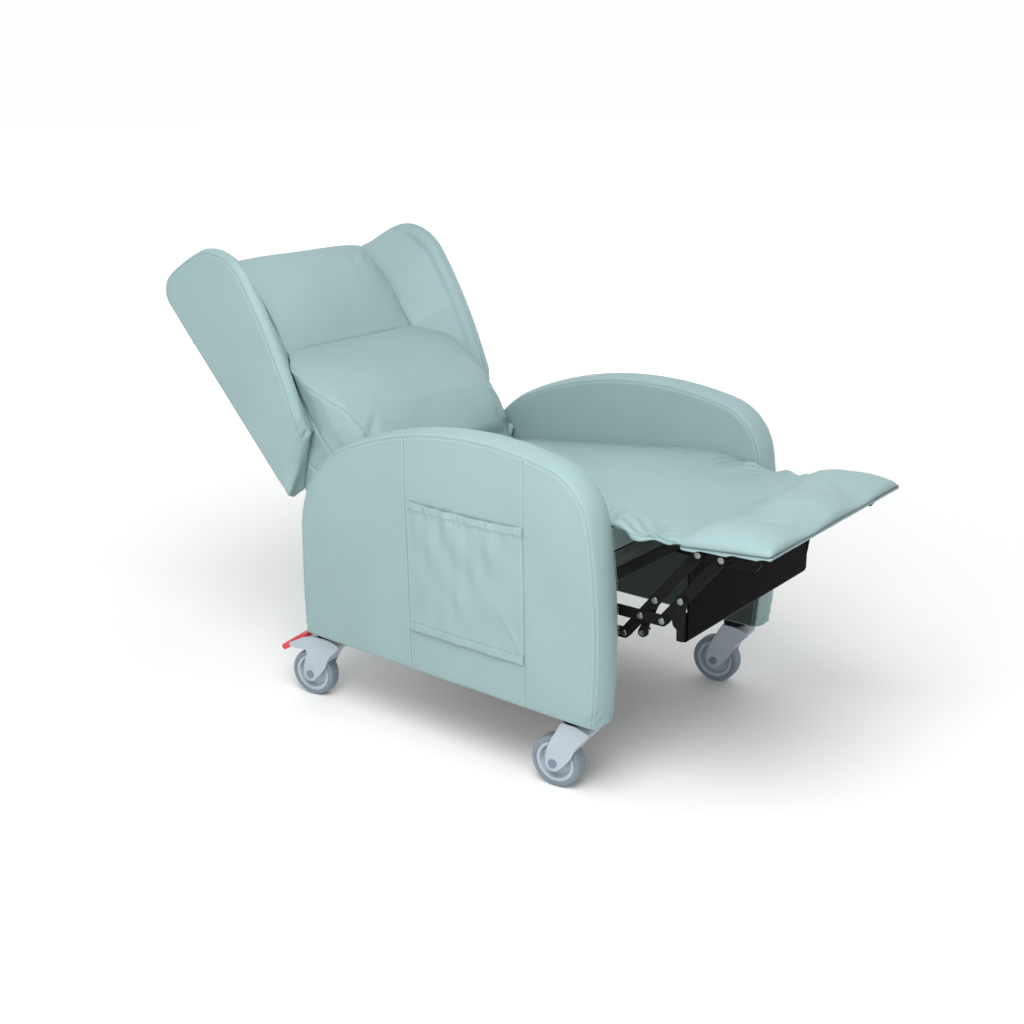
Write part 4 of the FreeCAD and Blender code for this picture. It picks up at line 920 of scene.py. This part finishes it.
def wave_panel(obj):
    """Slight hollows on the seat, waves along the limp panel's sides and its overlap at the front."""
    co, out = points_of(obj), normals_of(obj)
    flap = ramp(co[:, 1], -0.325, -0.355)
    up = np.clip(out[:, 2], 0, 1)
    lift = 0.0010 * ripple(co, 0.20, 8) * up
    ends = bell(np.abs(co[:, 0]) - 0.245, 0.045) * flap
    wave = (np.sin(co[:, 1] * 92 + 12 * np.abs(co[:, 0]) + 0.4)
            * np.sin(ramp(co[:, 1], -0.33, -0.48) * math.pi))
    co = co + out * lift[:, None]
    co[:, 2] += 0.0042 * ends * wave + 0.0010 * flap * ripple(co * (0.6, 1.5, 0.0), 0.11, 21)
    co[:, 0] += 0.004 * ends * np.sin(co[:, 1] * 60) * np.sign(co[:, 0])
    co[:, 1] -= 0.010 * ramp(co[:, 1], -0.462, -0.477)
    set_points(obj, co)


def seat_folds():
    """Folds that run to a knot on each side of the limp panel, folds along it, and one on the seat."""
    folds = []
    for side, reach in ((-1, 1.0), (1, 0.75)):
        knot = (side * 244, -430)
        for x, y in ((196, -330), (176, -356), (158, -384), (160, -412), (186, -438), (206, -462)):
            x = 244 - (244 - x) * reach
            folds.append([(*knot, 505), (side * (x + 26), (knot[1] + y) / 2 + 5, 505), (side * x, y, 505)])
        for i in range(3):
            y = -296 - 20 * i
            folds.append([(side * 246, y, 500), (side * (222 - 8 * i), y + 7, 500),
                          (side * (190 - 14 * i), y + 12, 500)])
    return folds + [[(236, -150, 520), (214, -172, 520), (190, -186, 520)]]


def make_seat():
    """One cover over the seat cushion and the limp panel that joins it to the leg rest."""
    keep = within(0.2505)
    obj = padded_copy("seat_cover", ["seat_cushion", "leg_rest_flap"], settings().padding.cell, seat_held,
                      0.008, keep)
    wave_panel(obj)
    set_points(obj, keep(points_of(obj)))
    tree, down = surface_of(obj), Vector((0, 0, -1))
    rim = ((243, 300, 480), (243, 0, 520), (243, -318, 500))
    hem = ((246, -300, 500), (246, -345, 500), (244, -400, 497), (246, -466, 498))
    edges = [lay(tree, [side_point(s * x, y, z) for x, y, z in rim], SEAM_STEP, down) for s in (-1, 1)]
    hems = [lay(tree, [side_point(s * x, y, z) for x, y, z in hem], SEAM_STEP) for s in (-1, 1)]
    sew(obj, edges + hems, 0.0012, 0.0008, 0.03, 0.02, dark=0.75)
    crumple(obj, lay_folds(tree, seat_folds(), side_point, 1, down), 0.0030, 0.0068, 0.20, 0.6)
    stitch("base", edges)
    co, out = points_of(obj), normals_of(obj)
    # Painted shade on the faces of the cover that look down.
    float_attribute(obj, "painted_underside_shade", ramp(-out[:, 2], 0.2, 0.533) * (np.abs(co[:, 0]) < 0.2495))
    dress(obj, "leather", None)
    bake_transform(obj)
    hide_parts("seat_cushion", "leg_rest_flap")
    refinish("lining", "seat_rails")
    refinish("webbing", "seat_webbing")


def make_leg_rest():
    """The leg rest's cover, its seam and the cord round its rim, and the finishes beneath it."""
    def held(co):
        return ramp(leg_height(co), 0.020, 0.014)

    p = settings().padding
    obj = padded_copy("leg_rest_cover", ["leg_rest_pad"], p.cell, held, 0.006, within(0.2495), calm=40)
    tree = surface_of(obj)
    rim = [(-246, -20), (-246, 140), (-240, 147), (240, 147), (246, 140), (246, -20)]
    rim = lay(tree, [leg_point(x, f, 19.5) for x, f in rim], SEAM_STEP)
    sew(obj, [rim], 0.0016, 0.0004, 0.040, 0.020, dark=1.0)
    folds = [[(-244, 64, 28), (-226, 66, 34), (-200, 62, 36)],
             [(-240, 128, 22), (-222, 120, 28), (-198, 116, 32)],
             [(-236, -12, 30), (-190, -6, 34), (-140, -10, 34)],
             [(236, -12, 30), (180, -6, 34), (130, -12, 34)],
             [(-243, 20, 30), (-222, 18, 34), (-190, 22, 36)]]
    down = -direction(leg_point, 0, 0, 1000)
    crumple(obj, lay_folds(tree, folds, leg_point, 1, down), 0.0007, 0.0080, 0.03)
    dress(obj, "leather", "leg_rest", ["leg_rest_pad"])
    path = rim["spot"] + rim["out"] * 0.0006
    for _ in range(6):
        path[1:-1] = (path[:-2] + path[1:-1] * 2 + path[2:]) / 4
    cord = tube("leg_rest_piping", path, p.piping, "piping")
    dress(cord, "piping", "leg_rest")
    refinish("board", "leg_rest_board")
    refinish("steel", "leg_rest_brackets")
    refinish("zinc", "leg_rest_rivets")


def back_held(depth):
    """Holds what lies less than a depth before the hinge line, where a cushion meets the frame."""
    def held(co):
        behind, _ = back_local(co)
        return ramp(behind, -depth - 0.010, -depth)
    return held


def make_room(obj, other, degrees, gap):
    """Draws a cover of the backrest in where it would press into another piece at that angle."""
    tree = surface_of(other)
    hinge = Matrix.Translation(back_point(0, 0, 0))
    turn = hinge @ Matrix.Rotation(math.radians(degrees), 4, "X") @ hinge.inverted()
    back = turn.inverted()
    co = points_of(obj)
    for i in np.nonzero((back_local(co)[1] < 0.16) & (np.abs(co[:, 0]) < 0.243))[0]:
        point = turn @ Vector(co[i])
        place, normal, _, _ = tree.find_nearest(point)
        short = gap - (point - place).dot(normal)
        if 0 < short < 0.04 and abs(normal.x) < 0.5:
            co[i] = back @ (point + normal * short)
    set_points(obj, co)


def add_back_sides(bm):
    """Leather drawn from the lumbar cushion over the sides of the backrest's frame."""
    outline = [(42, 24, 251.2), (42, 82, 251.2), (42, 112, 260.5), (42, 230, 260.5), (8, 230, 251.2),
               (7, 172, 251.2), (-26, 172, 246.4), (-34, 120, 246.4), (-30, 50, 246.4), (-4, 24, 251.2)]
    for _, side in SIDES:
        inner = [bm.verts.new(back_point(side * 214, n, s)) for n, s, _ in outline]
        outer = [bm.verts.new(back_point(side * x, n, s)) for n, s, x in outline]
        made = [bm.faces.new(inner), bm.faces.new(outer[::-1])]
        for i in range(len(outline)):
            j = (i + 1) % len(outline)
            made.append(bm.faces.new((inner[i], outer[i], outer[j], inner[j])))
        bmesh.ops.recalc_face_normals(bm, faces=made)


# The lumbar cushion's gusset seam: half widths and heights above the hinge, in millimetres.
GUSSET = ((243, 236), (232, 196), (219, 161), (210, 128), (205, 90), (203, 40), (203, -10))


def limit_lumbar(co):
    """Rolls the sides off behind the gusset seams and keeps clear of the wings."""
    n, s = back_local(co)
    wide = np.abs(co[:, 0])
    widths, heights = zip(*GUSSET[::-1])
    seam = np.interp(s * 1000, heights, widths) / 1000
    drop = 0.050 * ramp(wide, seam, 0.2470) ** 1.4 * ramp(n, -0.012, -0.062)
    drop *= ramp(s, -0.030, 0.020) * ramp(s, 0.250, 0.200)
    co = co + np.outer(drop, direction(back_point, 0, 1000, 0))
    spread_out = np.where(wide > 0.2, 0.2 + (wide - 0.2) * 1.16, wide)
    most = np.where(s > 0.145, 0.2442, 0.2470)
    most = most + (0.2512 - most) * ramp(n, -0.027, 0.003)
    most = most + 0.0093 * ramp(n, 0.004, 0.036) * ramp(s, 0.060, 0.120)
    co[:, 0] = np.sign(co[:, 0]) * np.minimum(spread_out, most)
    return co


def shift_along(obj, amount, start, end):
    """Moves a back cushion up the backrest, not yet at start and by the whole amount beyond end."""
    co = points_of(obj)
    co += np.outer(amount * ramp(back_local(co)[1], start, end), direction(back_point, 0, 0, 1000))
    set_points(obj, co)


def make_lumbar_cushion():
    """The lumbar cushion's cover. Its foot keeps clear of the seat while the backrest stands up."""
    p, into = settings().padding, direction(back_point, 0, 1000, 0)
    obj = padded_copy("lumbar_cover", ["lumbar_cushion"], p.cell, back_held(0.010), 0.008, limit_lumbar,
                      calm=24, extra=add_back_sides)
    co, seat = points_of(obj), bpy.data.objects["seat_cover"]
    n, s = back_local(co)
    corners = ramp(np.abs(co[:, 0]), 0.200, 0.220) * ramp(np.abs(n + 0.028), 0.050, 0.020)
    relax(obj, 110, weight=corners * ramp(s, 0.165, 0.145))
    shift_along(obj, 0.003, 0.326, 0.346)
    for _ in range(2):
        make_room(obj, seat, UPRIGHT, 0.003)
        relax(obj, 5, weight=ramp(back_local(points_of(obj))[1], 0.12, 0.09))
    make_room(obj, seat, UPRIGHT, 0.001)
    tree = surface_of(obj)
    seams = [lay(tree, [back_point(s * x, 0, z) for x, z in GUSSET], SEAM_STEP, into) for s in (-1, 1)]
    sew(obj, seams, pucker=0.0012, pitch=0.024, reach=0.012)
    stitch("backrest", seams, (p.row_gap,))
    dress(obj, "leather", "backrest", ["lumbar_cushion"])


def make_head_cushion():
    """The head cushion's cover, with a short seam near each wing."""
    obj = padded_copy("head_cover", ["head_cushion"], settings().padding.cell, back_held(0.012), 0.006,
                      calm=24)
    shift_along(obj, -0.0025, 0.378, 0.358)
    tree, into = surface_of(obj), direction(back_point, 0, 1000, 0)
    sides = [lay(tree, [back_point(s * 187, -20, z) for z in (361, 480, 578)], SEAM_STEP, into)
             for s in (-1, 1)]
    sew(obj, sides, 0.0010, 0.0005, 0.026, 0.014)
    dress(obj, "leather", "backrest", ["head_cushion"])


def round_wing(obj, side):
    """Crowns a wing's outer face, draws its inner edge in and rounds its lower front edge."""
    co, out = points_of(obj), normals_of(obj)
    reach = distance_to(co, wing_line(0, 0.0, 1), 3)
    face = np.clip(out[:, 0] * side, 0, 1) ** 4
    co = co + out * (0.0026 * (1 - bell(reach, 0.05)) * face)[:, None]
    co[:, 0] += side * 0.0045 * bell(reach, 0.034) * ramp(-out[:, 0] * side, -0.3, 0.7)
    toe = [back_point(0, -27 + 138 * t, 150 - 62 * t) for t in np.linspace(0, 1, 40)]
    outer_side = ramp(co[:, 0] * side, 0.262, 0.300) * ramp(back_local(co)[0], 0.095, 0.045)
    co[:, 0] -= side * 0.014 * bell(distance_to(co, toe), 0.020) * outer_side
    set_points(obj, co)
    relax(obj, 4)


def wing_folds():
    """Small folds over the wing's crest, at its tip and along its lower edge."""
    folds = []
    for s in (575, 556, 538, 516):
        n = -float(np.interp(s, (150, 300, 447, 540, 594), (27, 88, 137, 118, 67))) + 13
        folds.append([(300, n, s), (294, n - 8, s + 4), (286, n - 13, s + 6)])
    folds += [[(301, -24, 152), (296, -34, 168), (284, -42, 176)],
              [(301, -8, 145), (300, -30, 190), (292, -46, 214)]]
    for i in range(8):
        n, s = 15 * i, 5 * i
        folds.append([(300, 100 - n, 96 + s), (301, 102 - n, 112 + s), (302, 98 - n, 128 + s)])
    return folds


def make_wings():
    """The wings' covers, with a seam round each face and a deep pleat at the lower tip."""
    p = settings().padding
    for name, side in SIDES:
        obj = padded_copy("wing_cover_" + name, ["wing_" + name], p.fine_cell, subdivide=False, rounds=4)
        round_wing(obj, side)
        tree = surface_of(obj)
        outer = lay(tree, wing_line(side * 302, -9.5, 1), SEAM_STEP)
        inner = lay(tree, wing_line(side * 280, -1.5, 8), SEAM_STEP)
        rear = lay(tree, [back_point(side * 302, 101, 92), back_point(side * 302, 84, 574)], SEAM_STEP)
        sew(obj, [outer, inner, rear], 0.0010, 0.0003, 0.019, 0.015, 3 + side, dark=0.34)
        crumple(obj, lay_folds(tree, wing_folds(), back_point, side), 0.0008, 0.0046, 0.06)
        pleat = [(302, -8, 142), (300, -20, 145), (292, -28, 150), (282, -32, 158)]
        crumple(obj, lay_folds(tree, [pleat], back_point, side), 0.0034, 0.0042, 0.6)
        stitch("backrest", [outer, inner])
        dress(obj, "leather", "backrest", ["wing_" + name])


def make_back_cores():
    """Padding that closes the view between the cushions and the wings, and over the frame's top."""
    for name, width, (n, depth), (s, height) in (("back_core", 474, (-3, 15), (300, 180)),
                                                 ("back_top_strip", 516, (22, 62), (585, 15))):
        bm = bmesh.new()
        made = bmesh.ops.create_cube(bm, size=1.0)
        for v in made["verts"]:
            v.co = back_point(v.co.x * width, n + v.co.y * depth, s + v.co.z * height)
        bmesh.ops.recalc_face_normals(bm, faces=bm.faces)
        mesh = bpy.data.meshes.new(name)
        bm.to_mesh(mesh)
        bm.free()
        obj = link(name, mesh)
        with_modifier(obj, "BEVEL", width=0.005, segments=4)
        dress(obj, "leather", "backrest")


def make_rear_panel():
    """The panel behind the backrest, with a seam round it and one down its middle."""
    cell = settings().padding.cell
    obj = padded_copy("rear_panel_cover", ["back_rear_panel"], cell, subdivide=False, rounds=3)
    tree = surface_of(obj)
    ring = [(-246, 80), (246, 80), (246, 560), (-246, 560), (-246, 80)]
    ahead = -direction(back_point, 0, 1000, 0)
    line = lay(tree, [back_point(x, 110, s) for x, s in ring], SEAM_STEP, ahead)
    middle = lay(tree, [back_point(0, 110, 84), back_point(0, 110, 556)], SEAM_STEP, ahead)
    sew(obj, [line, middle], 0.0013, 0.0008, 0.03, 0.018)
    stitch("backrest", [line, middle])
    dress(obj, "leather", "backrest", ["back_rear_panel"])
    refinish("wood", "back_frame")
    refinish("steel", "back_hinge_brackets")


def make_stitching():
    """One mesh of stitches for each body that has any."""
    p = settings().padding
    for body, places in STITCHES.items():
        obj = beads(body + "_stitching", places, "thread", p.stitch, p.thread)
        dress(obj, "thread", body)


def recolour(node_name, finish, chosen):
    """Gives a second material to those faces of a CAD node whose middles are chosen."""
    mesh = NODES[node_name].data
    mesh.materials.append(material(finish))
    index = len(mesh.materials) - 1
    for face in mesh.polygons:
        if chosen(face.center):
            face.material_index = index


def turned(name, profile, places, body, count=24):
    """Small round pieces turned about the X axis: a profile of (out, radius) at each (x, y, z)."""
    points, faces = [], []
    for x, y, z in places:
        side, first = math.copysign(1, x), len(points)
        for out, radius in profile:
            for i in range(count):
                a = 2 * math.pi * i / count * side
                points.append(side_point(x + side * out, y + radius * math.cos(a), z + radius * math.sin(a)))
        rings = len(profile)
        for r in range(rings - 1):
            low, high = first + r * count, first + (r + 1) * count
            for i in range(count):
                j = (i + 1) % count
                faces.append((low + i, low + j, high + j, high + i))
        faces.append([first + (rings - 1) * count + i for i in range(count)])
    obj = mesh_object(name, points, faces)
    bm = bmesh.new()
    bm.from_mesh(obj.data)
    bmesh.ops.recalc_face_normals(bm, faces=bm.faces)
    bm.to_mesh(obj.data)
    bm.free()
    return dress(obj, "zinc", body)


# Places of the rivets' heads on each body, (x, y, z) in millimetres.
RIVETS = {
    "upper_rockers": [(226.9, -395.06, 345.65), (226.9, -439.15, 346.11)],
    "lower_rockers": [(226.9, -361.68, 304.87)],
    "leg_rest": [(221.9, -503.49, 478.13), (221.9, -547.59, 478.59)],
    "short_links": [(226.9, -475.45, 390.45)],
    "long_links": [(221.9, -421.66, 378.15)],
}
STOP = (-390.86, 307.85)  # (y, z) of the stop roller


def make_rivet_faces():
    """Domed faces with a ring groove on the rivets' heads, and the screws of the stop rollers."""
    dome = [(2.0, 6.02), (2.35, 5.7), (2.75, 4.9), (2.85, 4.1), (2.55, 3.6), (2.5, 3.1), (2.9, 2.6),
            (3.1, 1.4)]
    for body, places in RIVETS.items():
        turned(body + "_rivet_faces", dome, [(s * x, y, z) for _, s in SIDES for x, y, z in places], body)
    y, z = STOP
    head = [(-0.4, 5.2), (0.1, 5.2), (0.15, 4.8), (0.15, 2.4), (0.03, 2.2)]
    turned("stop_screw_heads", head, [(s * 216.5, y, z) for _, s in SIDES], "long_links")
    thread = [(-0.8 * i, 3.1 if i % 2 else 2.5) for i in range(20)] + [(-16.4, 1.8)]
    turned("stop_screws", thread, [(s * 205.5, y, z) for _, s in SIDES], "long_links")


def make_steelwork():
    refinish("steel", "front_tube", "rear_tube", "side_plate_left", "side_plate_right", "guard_brackets",
             *("%s_%s" % (part, side) for part in ("upper_rocker", "lower_rocker", "long_link", "short_link")
               for side, _ in SIDES))
    refinish("zinc", "plate_bolts", "back_hinge_pins", "upper_rocker_rivets", "lower_rocker_rivets",
             "long_link_stops", "guard_bolts")
    _, rivet_y, rivet_z = RIVETS["long_links"][0]
    recolour("long_link_stops", "steel",
             lambda c: math.hypot(c.y - rivet_y / 1000, c.z - rivet_z / 1000) > 0.0062)
    refinish("board", "guard_board")
    make_rivet_faces()


def make_casters():
    refinish("steel", "caster_heads")
    for corner in CORNERS:
        refinish("housing", "caster_fork_" + corner)
        refinish("tyre", "caster_tyre_" + corner)
        refinish("rim", "caster_rim_" + corner)
        refinish("cap", "caster_axle_" + corner)
    turn, half = math.radians(11.9), 0.0165  # the rear casters' swivel, and half of the pedal's red part
    for name, side in SIDES:
        def beside(c):
            return abs((c.x - side * 0.281) * math.cos(turn) + (c.y - 0.340) * math.sin(turn)) > half

        refinish("pedal", "brake_pedal_rear_" + name)
        recolour("brake_pedal_rear_" + name, "rim", beside)


def area_light(name, spot, aim, size, power, tint):
    data = bpy.data.lights.new(name, "AREA")
    data.shape, data.size, data.energy, data.color = "DISK", size, power, tint
    obj = link(name, data)
    obj.location = spot
    obj.rotation_mode = "QUATERNION"
    obj.rotation_quaternion = (Vector(aim) - Vector(spot)).to_track_quat("-Z", "Y")


def make_floor():
    """A pale floor with a painted glow that grows with the distance until it meets the white round it."""
    s, size = settings(), 40
    floor = mesh_object("floor", [(-size, -size, 0), (size, -size, 0), (size, size, 0), (-size, size, 0)],
                        [(0, 1, 2, 3)])
    ground, tree, surface = start_material("pale_floor", Roughness=0.6, Specular_IOR_Level=0.2)
    tone = mixed(tree, noise(tree, 0.5, 3.0), rgba(s.colours.floor, 0.985), rgba(s.colours.floor, 1.015))
    tree.links.new(tone, surface.inputs["Base Color"])
    # Painted glow: the floor gives off white light, more the farther it lies from the chair.
    away = node(tree, "ShaderNodeVectorMath", {"operation": "LENGTH"}, i0=place(tree)).outputs["Value"]
    surface.inputs["Emission Color"].default_value = (1.0, 1.0, 1.0, 1.0)
    tree.links.new(spread(tree, away, 0.9, 3.2, 0.0, 0.42), surface.inputs["Emission Strength"])
    floor.data.materials.append(ground)


def make_sky(strength):
    """Even light all round, weaker from behind the camera."""
    world = bpy.data.worlds.new("studio")
    world.use_nodes = True
    tree = world.node_tree
    sky = tree.nodes["Background"]
    sky.inputs["Color"].default_value = (0.985, 0.995, 1.0, 1.0)
    toward = node(tree, "ShaderNodeVectorMath", {"operation": "DOT_PRODUCT"}, i1=(0.77, 0.63, -0.10),
                  i0=node(tree, "ShaderNodeTexCoord").outputs["Generated"]).outputs["Value"]
    tree.links.new(spread(tree, toward, -0.2, 0.3, strength * 0.64, strength), sky.inputs["Strength"])
    bpy.context.scene.world = world


def make_camera(lens):
    camera = bpy.data.cameras.new("camera")
    camera.lens, camera.sensor_width = lens, 36.0
    camera.clip_start, camera.clip_end = 0.05, 100.0
    obj = link("camera", camera)
    right, up, ahead = ((0.6290, -0.7773, -0.0153), (0.2493, 0.1830, 0.9509), (0.7363, 0.6019, -0.3088))
    turn = Matrix((right, up, tuple(-a for a in ahead))).transposed()
    obj.rotation_mode = "QUATERNION"
    obj.rotation_quaternion = turn.to_quaternion()
    obj.location = (-2.0027, -1.5646, 1.2240)
    bpy.context.scene.camera = obj


def make_stage():
    s, scene = settings(), bpy.context.scene
    make_floor()
    make_sky(s.sky)
    aim = (0, -0.05, 0.45)
    area_light("key_light", (-1.75, -0.80, 1.15), aim, 1.0, s.key, (1.0, 0.99, 0.97))
    area_light("top_light", (-1.35, -0.75, 2.4), aim, 1.7, s.fill, (1.0, 1.0, 1.0))
    make_camera(s.lens)
    scene.view_settings.view_transform = "Standard"
    scene.view_settings.look = "None"
    scene.view_settings.exposure, scene.view_settings.gamma = 0.0, 1.0


# Operators

def run(make):
    if not MATERIALS:
        MATERIALS.update(make_materials())
    make()
    return {"FINISHED"}


class RECLINER_OT_arms(bpy.types.Operator):
    """Makes the two padded arm covers with their seams"""
    bl_idname, bl_label = "recliner.arms", "Arms"

    def execute(self, context):
        return run(make_arms)


class RECLINER_OT_pocket(bpy.types.Operator):
    """Makes the magazine pocket on the right arm"""
    bl_idname, bl_label = "recliner.pocket", "Magazine pocket"

    def execute(self, context):
        return run(make_pocket)


class RECLINER_OT_seat(bpy.types.Operator):
    """Makes the cover of the seat and the panel before it, and finishes the rails and straps"""
    bl_idname, bl_label = "recliner.seat", "Seat"

    def execute(self, context):
        return run(make_seat)


class RECLINER_OT_leg_rest(bpy.types.Operator):
    """Makes the leg rest's pad and piping"""
    bl_idname, bl_label = "recliner.leg_rest", "Leg rest"

    def execute(self, context):
        return run(make_leg_rest)


class RECLINER_OT_back_cushions(bpy.types.Operator):
    """Makes the lumbar and head cushions"""
    bl_idname, bl_label = "recliner.back_cushions", "Back cushions"

    def execute(self, context):
        run(make_lumbar_cushion)
        return run(make_head_cushion)


class RECLINER_OT_wings(bpy.types.Operator):
    """Makes the two wings of the backrest"""
    bl_idname, bl_label = "recliner.wings", "Wings"

    def execute(self, context):
        return run(make_wings)


class RECLINER_OT_rear_panel(bpy.types.Operator):
    """Makes the panel behind the backrest and the padding inside it"""
    bl_idname, bl_label = "recliner.rear_panel", "Rear panel"

    def execute(self, context):
        run(make_back_cores)
        return run(make_rear_panel)


class RECLINER_OT_stitching(bpy.types.Operator):
    """Makes the rows of stitches along the seams, one mesh for each body"""
    bl_idname, bl_label = "recliner.stitching", "Stitching"

    def execute(self, context):
        return run(make_stitching)


class RECLINER_OT_steelwork(bpy.types.Operator):
    """Finishes the tubes, plates, links, rivets and guard board"""
    bl_idname, bl_label = "recliner.steelwork", "Steelwork"

    def execute(self, context):
        return run(make_steelwork)


class RECLINER_OT_casters(bpy.types.Operator):
    """Finishes the casters and their brake pedals"""
    bl_idname, bl_label = "recliner.casters", "Casters"

    def execute(self, context):
        return run(make_casters)


class RECLINER_OT_stage(bpy.types.Operator):
    """Makes the floor, lights, sky and camera"""
    bl_idname, bl_label = "recliner.stage", "Stage"

    def execute(self, context):
        return run(make_stage)


STEPS = (RECLINER_OT_arms, RECLINER_OT_pocket, RECLINER_OT_seat, RECLINER_OT_leg_rest,
         RECLINER_OT_back_cushions, RECLINER_OT_wings, RECLINER_OT_rear_panel, RECLINER_OT_stitching,
         RECLINER_OT_steelwork, RECLINER_OT_casters, RECLINER_OT_stage)


class RECLINER_PT_panel(bpy.types.Panel):
    """Lists the chair's pieces and settings in the sidebar"""
    bl_idname, bl_label = "RECLINER_PT_panel", "Recliner"
    bl_space_type, bl_region_type, bl_category = "VIEW_3D", "UI", "Recliner"

    def draw(self, context):
        for step in STEPS:
            self.layout.operator(step.bl_idname)
        for group in (context.scene.recliner.colours, context.scene.recliner.padding):
            for key in group.__annotations__:
                self.layout.prop(group, key)
        for key in ("lens", "key", "fill", "sky"):
            self.layout.prop(context.scene.recliner, key)


CLASSES = (ReclinerColours, ReclinerPadding, ReclinerSettings, *STEPS, RECLINER_PT_panel)


def register():
    for cls in CLASSES:
        bpy.utils.register_class(cls)
    bpy.types.Scene.recliner = bpy.props.PointerProperty(type=ReclinerSettings, name="Recliner",
                                                         description="Settings of the armchair")


def unregister():
    del bpy.types.Scene.recliner
    for cls in reversed(CLASSES):
        bpy.utils.unregister_class(cls)


def main():
    register()
    ops = bpy.ops.recliner
    for step in STEPS:
        getattr(ops, step.bl_idname.split(".")[1])()


if __name__ == "__main__":
    main()
